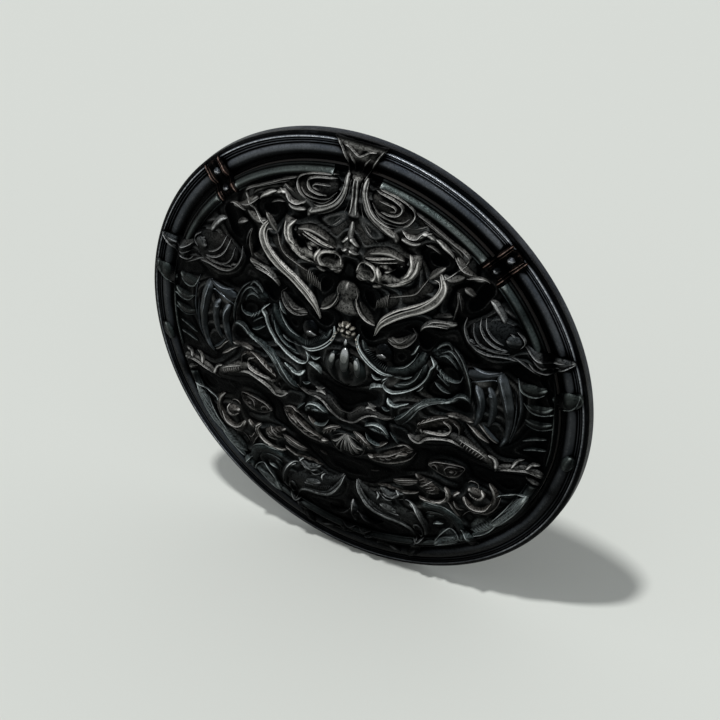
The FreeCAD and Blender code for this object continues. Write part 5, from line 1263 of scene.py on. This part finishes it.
def makeSheet():
    cells = sheetPiece["cells"]
    u, v = np.meshgrid(np.linspace(-1, 1, cells + 1), np.linspace(-1, 1, cells + 1))
    across = u * np.sqrt(1 - v * v / 2) * sheetPiece["radius"]
    up = v * np.sqrt(1 - u * u / 2) * sheetPiece["radius"]
    high = sheetHeight(np.abs(across), up)
    flow = sampled(broadly, across, up)
    fade = np.clip((238 - np.hypot(across, up)) / 10, 0, 1)
    waves = np.cos(flow * 4.2) + 0.5 * np.cos(flow * 9.5 + 1)
    high = high + fade * (sheetPiece["grooves"] * waves + sheetPiece["swell"] * flow)
    # painted shade: the sheet is darker where it lies low between the strokes, in bands that follow them
    shown = (flow - 1.6) * 1.5 + 1.1 * waves
    place = onFace(across.ravel(), up.ravel(), high.ravel())
    index = np.arange((cells + 1)**2).reshape(cells + 1, cells + 1)
    quads = np.stack([index[:-1, :-1], index[:-1, 1:], index[1:, 1:], index[1:, :-1]], -1).reshape(-1, 4)
    border = np.concatenate([index[0, :-1], index[:-1, -1], index[-1, :0:-1], index[:0:-1, 0]])
    corners = [place]
    faces = quads.tolist()
    last = border
    start = len(place)
    edgeAcross, edgeUp = across.ravel()[border], up.ravel()[border]
    xs, ys, hs = [across.ravel()], [up.ravel()], [high.ravel()]
    lifts, edges = [shown.ravel()], [(0.9 * waves).ravel()]
    for share in (1.0,) + sheetPiece["backRings"]:
        x, y = edgeAcross * share, edgeUp * share
        lifts.append(np.zeros(len(x)))
        edges.append(np.zeros(len(x)))
        h = np.full(len(x), -sheetPiece["thickness"])
        corners.append(onFace(x, y, h))
        xs.append(x)
        ys.append(y)
        hs.append(h)
        here = np.arange(start, start + len(border))
        faces += np.stack([last, here, np.roll(here, -1), np.roll(last, -1)], -1).tolist()
        last = here
        start += len(border)
    faces.append(last.tolist())
    corners = np.vstack(corners)
    if volumeOf(corners, [np.array(faces[:-1])]) < 0:
        faces = [face[::-1] for face in faces]
    made = meshObject("face_sheet_embossed", corners, faces, finishes["ground_steel"],
                      {"lift": np.concatenate(lifts), "edge": np.concatenate(edges),
                          "paintedShade": shadingAt(np.concatenate(xs), np.concatenate(ys)),
                          "strip": np.concatenate([flow.ravel() * sheetPiece["flowSpread"]] + xs[1:])})
    addSkyward(made)
    return ridesOn(made, "shield", "ground_steel", "face_sheet")


makeSheet()
print("embossed sheet built")


class Recipe:
    # a geometry node tree with named sizes
    def __init__(self, name, sizes):
        self.tree = bpy.data.node_groups.new(name, "GeometryNodeTree")
        face = self.tree.interface
        face.new_socket("Geometry", in_out="INPUT", socket_type="NodeSocketGeometry")
        self.keys = {}
        for label, kind in sizes:
            self.keys[label] = face.new_socket(label, in_out="INPUT",
                socket_type="NodeSocket" + kind).identifier
        face.new_socket("Geometry", in_out="OUTPUT", socket_type="NodeSocketGeometry")
        self.given = self.tree.nodes.new("NodeGroupInput")

    def size(self, label):
        return self.given.outputs[label]

    def node(self, kind, settings=None, sockets=None, output=0):
        made = self.tree.nodes.new(kind)
        for key, value in (settings or {}).items():
            setattr(made, key, value)
        for key, value in (sockets or {}).items():
            socket = enabled(made.inputs, key)
            if isinstance(value, bpy.types.NodeSocket):
                self.tree.links.new(value, socket)
            else:
                socket.default_value = value
        return enabled(made.outputs, output)

    def sum(self, operation, first, second=0.0):
        return self.node("ShaderNodeMath", {"operation": operation}, {0: first, 1: second})

    def end(self, geometry):
        real = self.node("GeometryNodeRealizeInstances", {}, {"Geometry": geometry})
        coloured = self.node("GeometryNodeSetMaterial", {},
            {"Geometry": real, "Material": self.size("Finish")})
        self.tree.links.new(coloured, self.tree.nodes.new("NodeGroupOutput").inputs[0])

    def made(self, name, corners, edges, sizes):
        # runs the tree on these points and keeps the result as a plain mesh
        start = bpy.data.meshes.new(name + "_start")
        start.from_pydata(corners, edges, [])
        holder = linked(name + "_start", start)
        modifier = holder.modifiers.new("recipe", "NODES")
        modifier.node_group = self.tree
        for label, value in sizes.items():
            modifier[self.keys[label]] = value
        bpy.context.view_layer.update()
        graph = bpy.context.evaluated_depsgraph_get()
        mesh = bpy.data.meshes.new_from_object(holder.evaluated_get(graph))
        mesh.name = name
        bpy.data.objects.remove(holder)
        return linked(name, mesh)


# Turned pieces: the profile's points are (distance out, 0, height), swept between two bearings
turnedRecipe = Recipe("turned", [("Around", "Int"), ("From", "Float"), ("To", "Float"),
    ("Finish", "Material")])
count = turnedRecipe.node("GeometryNodeAttributeDomainSize", {},
    {"Geometry": turnedRecipe.given.outputs[0]}, "Point Count")
grid = turnedRecipe.node("GeometryNodeMeshGrid", {},
    {"Vertices X": count, "Vertices Y": turnedRecipe.size("Around")}, "Mesh")
index = turnedRecipe.node("GeometryNodeInputIndex")
row = turnedRecipe.sum("FLOOR", turnedRecipe.sum("DIVIDE", turnedRecipe.sum("ADD", index, 0.5),
    turnedRecipe.size("Around")))
column = turnedRecipe.sum("SUBTRACT", index, turnedRecipe.sum("MULTIPLY", row, turnedRecipe.size("Around")))
spot = turnedRecipe.node("GeometryNodeSampleIndex", {"data_type": "FLOAT_VECTOR"}, {
    "Geometry": turnedRecipe.given.outputs[0], "Value": turnedRecipe.node("GeometryNodeInputPosition"),
    "Index": row}, "Value")
apart = turnedRecipe.node("ShaderNodeSeparateXYZ", {}, {"Vector": spot}, "X").node
share = turnedRecipe.sum("DIVIDE", column, turnedRecipe.sum("SUBTRACT", turnedRecipe.size("Around"), 1.0))
span = turnedRecipe.sum("SUBTRACT", turnedRecipe.size("To"), turnedRecipe.size("From"))
bearing = turnedRecipe.sum("ADD", turnedRecipe.size("From"), turnedRecipe.sum("MULTIPLY", span, share))
swept = turnedRecipe.node("ShaderNodeCombineXYZ", {}, {
    "X": turnedRecipe.sum("MULTIPLY", apart.outputs["X"], turnedRecipe.sum("SINE", bearing)),
    "Y": turnedRecipe.sum("MULTIPLY", apart.outputs["Z"], -1.0),
    "Z": turnedRecipe.sum("MULTIPLY", apart.outputs["X"], turnedRecipe.sum("COSINE", bearing))})
placed = turnedRecipe.node("GeometryNodeSetPosition", {}, {"Geometry": grid, "Position": swept})
turnedRecipe.end(turnedRecipe.node("GeometryNodeMergeByDistance", {},
    {"Geometry": placed, "Distance": 0.000002}))


def turnedPiece(name, profile, around, spans, finish):
    # the pieces of one profile, joined, with the fields that the finish reads
    points = [(radius / 1000, 0, (disc["rimDepth"] + high) / 1000) for radius, high in profile]
    points.append(points[0])
    whole = bmesh.new()
    for first, last in spans:
        made = turnedRecipe.made(name, points, [], {"Around": around, "From": math.radians(first),
                                                    "To": math.radians(last), "Finish": finish})
        whole.from_mesh(made.data)
        bpy.data.objects.remove(made)
    bmesh.ops.holes_fill(whole, edges=[edge for edge in whole.edges if edge.is_boundary], sides=0)
    bmesh.ops.recalc_face_normals(whole, faces=whole.faces)
    mesh = bpy.data.meshes.new(name)
    whole.to_mesh(mesh)
    whole.free()
    place = np.empty(len(mesh.vertices) * 3, np.float32)
    mesh.vertices.foreach_get("co", place)
    place = place.reshape(-1, 3) * 1000
    across, up = place[:, 0], place[:, 2]
    high = -place[:, 1] - disc["rimDepth"] - ground(np.hypot(across, up))
    fields = fieldsAt(across, up, high)
    # the back of the hoop is kept out of the painted shade of the hollows; its flange takes a fixed share
    # of painted shade and counts as half turned up
    behind = high < hoop["behind"]
    fields["lift"] = np.where(behind, 0.8, fields["lift"])
    fields["edge"] = np.where(behind, 0.0, fields["edge"])
    flange = high < hoop["flange"]
    fields["paintedShade"] = np.where(flange, hoop["flangeShade"], fields["paintedShade"])
    addFields(mesh, fields)
    coat(mesh, finish)
    smoothen(mesh)
    mesh.set_sharp_from_angle(angle=math.radians(hoop["sharp"]))
    made = linked(name, mesh)
    addSkyward(made, np.flatnonzero(flange))
    return made


ridesOn(turnedPiece("rim_hoop", hoopFront + hoopBack, hoop["around"] + 1, [(0, 360)],
    finishes["rim_steel"]),
        "shield", "rim_steel", "rim_ring")
# the bottom arcs take the lighter moulding copy: painted light on their slopes that face up
for name, (first, last) in bandArcs.items():
    ridesOn(turnedPiece(name + "_band", bandFront + bandBack, moulding["around"],
                        [(first, last), (-last, -first)],
                        finishes["moulding_lit" if name == "moulding_bottoms" else "moulding_steel"]),
            "shield", "moulding_steel", name)
print("hoop and mouldings turned")

# Carrying gear behind: leathers, thread, wood and iron
liningUnder = 10.1


def liningDepth(x, z):
    # where the lining's back is, in millimetres
    under = ballRadius - liningUnder
    return -(disc["rimDepth"] + np.sqrt(under**2 - x**2 - z**2) - ballRadius + disc["rise"])


def leather(name, look):
    finish = Finish(name)
    tone = finish.noise(look["patch"], 4, 0.6)
    pores = finish.cells(look["grain"])
    creases = finish.noise(look["grain"] * 0.45, 5, 0.7)
    rubbed = finish.between(finish.noise(26, 4, 0.7), 0.52, 0.72)
    base = finish.mixed(finish.between(tone, 0.32, 0.68), look["dark"], look["light"])
    base = finish.mixed(finish.between(pores, 0.0, 0.32), tuple(0.55 * c for c in look["dark"]), base)
    base = finish.mixed(rubbed * look["rubbed"], base, look["brightened"])
    rough = look["rough"] + (creases - 0.5) * 0.25 - rubbed * 0.1
    height = pores * 0.8 + creases * 0.7
    shader = finish.node("ShaderNodeBsdfPrincipled", {}, {
        "Base Color": base, "Roughness": rough, "Specular IOR Level": 0.35,
        "Normal": finish.bump(height, look["bump"], 0.0006)}, "BSDF")
    return finish.done(shader)


leatherLook = {"patch": 16, "grain": 620, "dark": (0.050, 0.026, 0.014), "light": (0.105, 0.056, 0.030),
    "brightened": (0.20, 0.12, 0.07), "rubbed": 0.5, "rough": 0.55, "bump": 0.45}
finishes["lining_leather"] = leather("lining_leather",
    {**leatherLook, "dark": (0.030, 0.020, 0.014), "light": (0.062, 0.040, 0.027),
                                                        "brightened": (0.11, 0.075, 0.05), "grain": 480})
finishes["strap_leather"] = leather("strap_leather", leatherLook)
finishes["pad_leather"] = leather("pad_leather",
    {**leatherLook, "dark": (0.075, 0.040, 0.022), "light": (0.14, 0.082, 0.047),
                                                  "brightened": (0.24, 0.155, 0.095), "grain": 540})
finishes["grip_leather"] = leather("grip_leather",
    {**leatherLook, "dark": (0.024, 0.015, 0.010), "light": (0.055, 0.034, 0.022),
                                                    "rubbed": 0.8, "rough": 0.45})


def thread(name):
    finish = Finish(name)
    tone = finish.noise(300, 3)
    base = finish.mixed(finish.between(tone, 0.35, 0.65), (0.30, 0.24, 0.16), (0.52, 0.44, 0.31))
    shader = finish.node("ShaderNodeBsdfPrincipled", {}, {
        "Base Color": base, "Roughness": 0.75, "Normal": finish.bump(finish.noise(2400, 2), 0.5, 0.0003)},
        "BSDF")
    return finish.done(shader)


def wood(name):
    finish = Finish(name)
    grain = finish.noise(22, 6, 0.65, (1.0, 1.0, 0.08))
    lines = finish.noise(170, 3, 0.6, (1.0, 1.0, 0.03))
    base = finish.mixed(finish.between(grain, 0.35, 0.65), (0.0035, 0.0026, 0.002), (0.008, 0.006, 0.0045))
    base = finish.mixed(finish.between(lines, 0.4, 0.6) * 0.5, base, (0.0015, 0.0012, 0.001))
    shader = finish.node("ShaderNodeBsdfPrincipled", {}, {
        "Base Color": base, "Roughness": 0.6 + (lines - 0.5) * 0.3,
        "Normal": finish.bump(lines, 0.4, 0.0005)}, "BSDF")
    return finish.done(shader)


ironBase = {"hollow": -3.0, "open": 0.4, "shade": 1.0, "speckle": 0.35, "streaky": 0.0, "matte": 0.25,
    "plain": 1.0}
ironLooks = {
    "iron_fittings": {"body": (0.070, 0.068, 0.066), "bodyTwo": (0.105, 0.092, 0.082),
        "crest": (0.26, 0.25, 0.24), "crestTwo": (0.36, 0.35, 0.34), "rough": 0.46, "pits": 1.0,
        "bump": 0.5, "brightFrom": 0.1, "brightTo": 1.4},
    "rivet_iron": {"body": (0.14, 0.13, 0.12), "bodyTwo": (0.19, 0.17, 0.15), "crest": (0.40, 0.39, 0.37),
        "crestTwo": (0.52, 0.50, 0.48), "rough": 0.36, "pits": 0.6, "brightFrom": 0.1, "brightTo": 1.2},
    "buckle_iron": {"body": (0.11, 0.105, 0.10), "bodyTwo": (0.16, 0.145, 0.13),
        "crest": (0.36, 0.35, 0.33), "crestTwo": (0.50, 0.48, 0.46), "rough": 0.38, "pits": 0.7,
        "brightFrom": 0.1, "brightTo": 1.2},
}
for name, look in ironLooks.items():
    finishes[name] = carvedMetal(name, {**steelLook, **ironBase, **look})
finishes["stitch_thread"] = thread("stitch_thread")
finishes["board_wood"] = wood("board_wood")

# CAD nodes that keep their shape and take a finish
keptNodes = {"wood_core": "board_wood", "leather_lining": "lining_leather", "rim_nails": "iron_fittings",
    "grip_bracket": "iron_fittings", "ring_staple": "iron_fittings", "hanging_ring": "iron_fittings",
    "strap_rivets": "rivet_iron", "buckle_frame": "buckle_iron", "buckle_tongue": "buckle_iron"}
for name, finishName in keptNodes.items():
    coat(nodes[name].data, finishes[finishName])


def mergedCopy(name, node):
    # a plain copy of a CAD node's mesh with its triangles joined
    whole = bmesh.new()
    whole.from_mesh(nodes[node].data)
    bmesh.ops.remove_doubles(whole, verts=whole.verts, dist=0.000004)
    bmesh.ops.dissolve_limit(whole, angle_limit=math.radians(1.5), verts=whole.verts, edges=whole.edges)
    mesh = bpy.data.meshes.new(name)
    whole.to_mesh(mesh)
    whole.free()
    return linked(name, mesh)


def applied(made):
    # the object with its modifiers made part of its mesh
    bpy.context.view_layer.update()
    mesh = bpy.data.meshes.new_from_object(made.evaluated_get(bpy.context.evaluated_depsgraph_get()))
    mesh.name = made.name
    made.modifiers.clear()
    made.data = mesh
    return made


strapLook = {"rounding": 0.0009, "sharp": 35, "seamInset": 3.4, "pitch": 0.0046, "stitch": 0.0036,
    "thick": 0.0011, "middle": 0.075, "half": 0.018, "spots": 70}


def strapPiece(node, slotName):
    made = mergedCopy(node + "_hide", node)
    bevel = made.modifiers.new("rounding", "BEVEL")
    bevel.width = strapLook["rounding"]
    bevel.segments = 3
    bevel.limit_method = "ANGLE"
    bevel.angle_limit = math.radians(40)
    applied(made)
    coat(made.data, finishes[slotName])
    smoothen(made.data)
    made.data.set_sharp_from_angle(angle=math.radians(strapLook["sharp"]))
    return ridesOn(made, "shield", slotName, node)


straps = {node: strapPiece(node, "strap_leather") for node in ("strap_long", "strap_short", "strap_keeper")}

# Stitches stand at even steps along a seam
stitchRecipe = Recipe("stitch_row",
    [("Pitch", "Float"), ("Length", "Float"), ("Thickness", "Float"), ("Finish", "Material")])
seam = stitchRecipe.node("GeometryNodeMeshToCurve", {}, {"Mesh": stitchRecipe.given.outputs[0]})
evenly = stitchRecipe.node("GeometryNodeResampleCurve", {"mode": "LENGTH"},
    {"Curve": seam, "Length": stitchRecipe.size("Pitch")})
single = stitchRecipe.node("GeometryNodeMeshIcoSphere", {}, {"Radius": 0.5, "Subdivisions": 2}, "Mesh")
shaped = stitchRecipe.node("GeometryNodeTransform", {}, {"Geometry": single, "Scale": stitchRecipe.node(
    "ShaderNodeCombineXYZ", {}, {"X": stitchRecipe.size("Length"), "Y": stitchRecipe.size("Thickness"),
        "Z": stitchRecipe.size("Thickness")})})
turn = stitchRecipe.node("FunctionNodeAlignRotationToVector", {"axis": "X"},
    {"Vector": stitchRecipe.node("GeometryNodeInputTangent")})
stitchRecipe.end(stitchRecipe.node("GeometryNodeInstanceOnPoints", {},
    {"Points": evenly, "Instance": shaped, "Rotation": turn}))


def stitches(name, paths, slotName):
    corners, edges = [], []
    for path in paths:
        start = len(corners)
        corners += [tuple(point) for point in path]
        edges += [(start + k, start + k + 1) for k in range(len(path) - 1)]
    made = stitchRecipe.made(name, corners, edges, {
        "Pitch": strapLook["pitch"], "Length": strapLook["stitch"], "Thickness": strapLook["thick"],
        "Finish": finishes["stitch_thread"]})
    smoothen(made.data)
    return ridesOn(made, "shield", slotName)


def onTop(made, points):
    # points dropped from behind onto a piece
    made.data.update()
    tree = BVHTree.FromObject(made, bpy.context.evaluated_depsgraph_get())
    found = []
    for x, z in points:
        spot = tree.ray_cast(Vector((x, 0.2, z)), Vector((0, -1, 0)))[0]
        if spot is not None:
            found.append(spot)
    return found


seamPaths = []
for node, first, last in (("strap_long", -0.1005, 0.049), ("strap_short", 0.1005, 0.052)):
    for side in (-1, 1):
        x = strapLook["middle"] + side * (strapLook["half"] - strapLook["seamInset"] / 1000)
        steps = strapLook["spots"]
        seamPaths.append(onTop(straps[node],
            [(x, first + (last - first) * k / steps) for k in range(steps + 1)]))
stitches("strap_stitches", seamPaths, "strap_leather")
print("straps stitched")

# The forearm pad is stuffed, quilted across and stitched round
padLook = {"voxel": 0.004, "pressure": 4.0, "swell": 0.0032, "frames": 20,
    "channels": (-50, -25, 0, 25, 50), "channelDepth": 2.6, "channelWidth": 2.4, "centre": 50.0,
    "halfLong": 75.0, "halfWide": 56.0, "seam": 7.0}


def makePad():
    made = mergedCopy("arm_pad_quilted", "arm_pad")
    even = made.modifiers.new("even", "REMESH")
    even.mode = "VOXEL"
    even.voxel_size = padLook["voxel"]
    applied(made)
    count = len(made.data.vertices)
    before = np.empty(count * 3, np.float32)
    made.data.vertices.foreach_get("co", before)
    before = before.reshape(-1, 3)
    cloth = made.modifiers.new("stuffing", "CLOTH")
    cloth.settings.use_pressure = True
    cloth.settings.uniform_pressure_force = padLook["pressure"]
    cloth.settings.effector_weights.gravity = 0
    scene = bpy.context.scene
    for step in range(1, padLook["frames"] + 1):
        scene.frame_set(step)
    swollen = made.evaluated_get(bpy.context.evaluated_depsgraph_get()).data
    after = np.empty(count * 3, np.float32)
    swollen.vertices.foreach_get("co", after)
    move = after.reshape(-1, 3) - before
    far = np.maximum(np.linalg.norm(move, axis=1), 1e-9)
    move *= np.minimum(1, padLook["swell"] / far)[:, None]
    made.modifiers.clear()
    scene.frame_set(1)
    made.data.vertices.foreach_set("co", (before + move).ravel())
    made.data.update()
    finer = made.modifiers.new("finer", "SUBSURF")
    finer.levels = finer.render_levels = 1
    applied(made)
    count = len(made.data.vertices)
    place = np.empty(count * 3, np.float32)
    made.data.vertices.foreach_get("co", place)
    place = place.reshape(-1, 3) * 1000
    x = place[:, 0] - padLook["centre"]
    z = place[:, 2]
    floorLevel = liningDepth(place[:, 0], z) + 0.3
    lifted = np.clip((place[:, 1] - floorLevel - 2) / 5, 0, 1)
    inside = np.clip((padLook["halfWide"] - padLook["seam"] - np.abs(z)) / 4, 0, 1)
    dip = sum(np.exp(-((x - channel) / padLook["channelWidth"])**2)
        for channel in padLook["channels"]) * inside
    toEdge = np.minimum(padLook["halfLong"] - np.abs(x), padLook["halfWide"] - np.abs(z))
    dip = dip + 0.7 * np.exp(-((toEdge - padLook["seam"]) / 1.8)**2)
    place[:, 1] -= lifted * padLook["channelDepth"] * dip
    place[:, 1] = np.maximum(place[:, 1], floorLevel)
    made.data.vertices.foreach_set("co", (place / 1000).ravel())
    coat(made.data, finishes["pad_leather"])
    smoothen(made.data)
    ridesOn(made, "shield", "pad_leather", "arm_pad")
    return made


pad = makePad()
rows = []
reachZ = (padLook["halfWide"] - padLook["seam"] - 1) / 1000
for channel in padLook["channels"]:
    x = (padLook["centre"] + channel) / 1000
    rows.append(onTop(pad, [(x, -reachZ + 2 * reachZ * k / 40) for k in range(41)]))
longIn = (padLook["halfLong"] - padLook["seam"]) / 1000
wideIn = (padLook["halfWide"] - padLook["seam"]) / 1000
bend = 0.017
border = []
for k in range(97):
    a = 2 * math.pi * k / 96
    c, d = math.cos(a), math.sin(a)
    border.append((padLook["centre"] / 1000 + math.copysign(longIn - bend, c) + bend * c,
                   math.copysign(wideIn - bend, d) + bend * d))
rows.append(onTop(pad, border))
stitches("pad_stitches", rows, "pad_leather")
print("pad stuffed and quilted")

# The grip: a leather thong wound round the bar, a little fuller in the middle
gripLook = {"across": -0.110, "behind": 0.016, "half": 0.0455, "core": 0.0098, "belly": 0.0018,
    "thong": 0.0021, "turns": 23.5}
windRecipe = Recipe("winding", [("Half", "Float"), ("Core", "Float"), ("Belly", "Float"),
                                ("Turns", "Float"),
                                ("Thong", "Float"), ("Centre", "Vector"), ("Finish", "Material")])
line = windRecipe.node("GeometryNodeMeshToCurve", {}, {"Mesh": windRecipe.given.outputs[0]})
along = windRecipe.node("GeometryNodeSplineParameter", {}, {}, "Factor")
level = windRecipe.sum("SUBTRACT", windRecipe.sum("MULTIPLY", along, 2.0), 1.0)
swell = windRecipe.sum("MULTIPLY", windRecipe.size("Belly"),
    windRecipe.sum("SUBTRACT", 1.0, windRecipe.sum("MULTIPLY", level, level)))
out = windRecipe.sum("ADD", windRecipe.sum("ADD", windRecipe.size("Core"), swell), windRecipe.size("Thong"))
angle = windRecipe.sum("MULTIPLY", along, windRecipe.sum("MULTIPLY", windRecipe.size("Turns"), math.tau))
coil = windRecipe.node("ShaderNodeCombineXYZ", {}, {
    "X": windRecipe.sum("MULTIPLY", out, windRecipe.sum("COSINE", angle)),
    "Y": windRecipe.sum("MULTIPLY", out, windRecipe.sum("SINE", angle)),
    "Z": windRecipe.sum("MULTIPLY", level, windRecipe.size("Half"))})
moved = windRecipe.node("ShaderNodeVectorMath", {"operation": "ADD"},
    {0: coil, 1: windRecipe.size("Centre")})
wound = windRecipe.node("GeometryNodeSetPosition", {}, {"Geometry": line, "Position": moved})
section = windRecipe.node("GeometryNodeCurvePrimitiveCircle", {},
    {"Resolution": 10, "Radius": windRecipe.size("Thong")}, "Curve")
windRecipe.end(windRecipe.node("GeometryNodeCurveToMesh", {},
    {"Curve": wound, "Profile Curve": section, "Fill Caps": True}))
steps = 900
winding = windRecipe.made("grip_winding", [(0, 0, k / steps) for k in range(steps + 1)],
    [(k, k + 1) for k in range(steps)], {
    "Half": gripLook["half"] - gripLook["thong"], "Core": gripLook["core"], "Belly": gripLook["belly"],
    "Turns": gripLook["turns"],
    "Thong": gripLook["thong"], "Centre": (gripLook["across"], gripLook["behind"], 0.0),
    "Finish": finishes["grip_leather"]})
smoothen(winding.data)
ridesOn(winding, "shield", "grip_leather", "grip_wrap")
coreRows = []
for share in (-1.0, -0.98, -0.6, -0.2, 0.2, 0.6, 0.98, 1.0):
    radius = gripLook["core"] + gripLook["belly"] * (1 - share**2) - (0.0012 if abs(share) == 1 else 0)
    coreRows.append([(gripLook["across"] + radius * math.cos(math.tau * k / 32),
                      gripLook["behind"] + radius * math.sin(math.tau * k / 32),
                      share * gripLook["half"]) for k in range(32)])
coreFaces = [(32 * r + k, 32 * r + (k + 1) % 32, 32 * (r + 1) + (k + 1) % 32, 32 * (r + 1) + k)
    for r in range(7) for k in range(32)]
coreFaces += [tuple(range(31, -1, -1)), tuple(range(32 * 7, 32 * 8))]
ridesOn(meshObject("grip_core", [spot for row in coreRows for spot in row], coreFaces,
    finishes["grip_leather"]), "shield", "grip_leather")
print("grip wound")

# Floor, light and camera
stageLook = {"floorDown": -0.285, "floorSize": 14.0, "floor": (0.700, 0.722, 0.680),
    "sunAway": (0.117, 0.277, -1.0), "sun": 1.9, "sky": 0.42, "shownSky": 0.85, "lens": 136.7,
    "camera": (1.2730, -2.2258, 1.7823), "turn": (55.0, 0.0, 30.0)}
floorFinish = Finish("floor_paint")
floorTone = floorFinish.mixed(floorFinish.noise(1.4, 3), stageLook["floor"],
    tuple(0.985 * c for c in stageLook["floor"]))
floorMaterial = floorFinish.done(floorFinish.node("ShaderNodeBsdfPrincipled", {}, {
    "Base Color": floorTone, "Roughness": 0.9, "Specular IOR Level": 0.1}, "BSDF"))
half = stageLook["floorSize"] / 2
low = stageLook["floorDown"]
floor = meshObject("floor", [(-half, -half, low), (half, -half, low), (half, half, low),
    (-half, half, low)],
                   [(0, 1, 2, 3)], floorMaterial, smooth=False)
floor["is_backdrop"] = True

lamp = bpy.data.lights.new("key_light", "SUN")
lamp.energy = stageLook["sun"]
lamp.angle = math.radians(4)
lampObject = linked("key_light", lamp)
lampObject.rotation_euler = Vector(stageLook["sunAway"]).to_track_quat("-Z", "Y").to_euler()

world = bpy.data.worlds.new("soft_sky")
world.use_nodes = True
worldNodes = world.node_tree.nodes
worldLinks = world.node_tree.links
worldNodes.clear()
rays = worldNodes.new("ShaderNodeLightPath")
either = worldNodes.new("ShaderNodeMath")
either.operation = "MAXIMUM"
worldLinks.new(rays.outputs["Is Camera Ray"], either.inputs[0])
worldLinks.new(rays.outputs["Is Glossy Ray"], either.inputs[1])
strength = worldNodes.new("ShaderNodeMapRange")
worldLinks.new(either.outputs[0], strength.inputs["Value"])
strength.inputs["To Min"].default_value = stageLook["sky"]
strength.inputs["To Max"].default_value = stageLook["shownSky"]
sky = worldNodes.new("ShaderNodeBackground")
sky.inputs["Color"].default_value = (0.96, 0.98, 1.0, 1)
worldLinks.new(strength.outputs[0], sky.inputs["Strength"])
worldEnd = worldNodes.new("ShaderNodeOutputWorld")
worldLinks.new(sky.outputs[0], worldEnd.inputs["Surface"])
bpy.context.scene.world = world

view = bpy.data.cameras.new("photo_view")
view.sensor_width = 36.0
view.lens = stageLook["lens"]
view.clip_end = 50
viewObject = linked("photo_view", view)
viewObject.location = stageLook["camera"]
viewObject.rotation_euler = [math.radians(angle) for angle in stageLook["turn"]]
bpy.context.scene.camera = viewObject
bpy.context.scene.view_settings.view_transform = "Standard"
print("stage set")

sizeNotes["dressed"] = cornersOf(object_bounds())
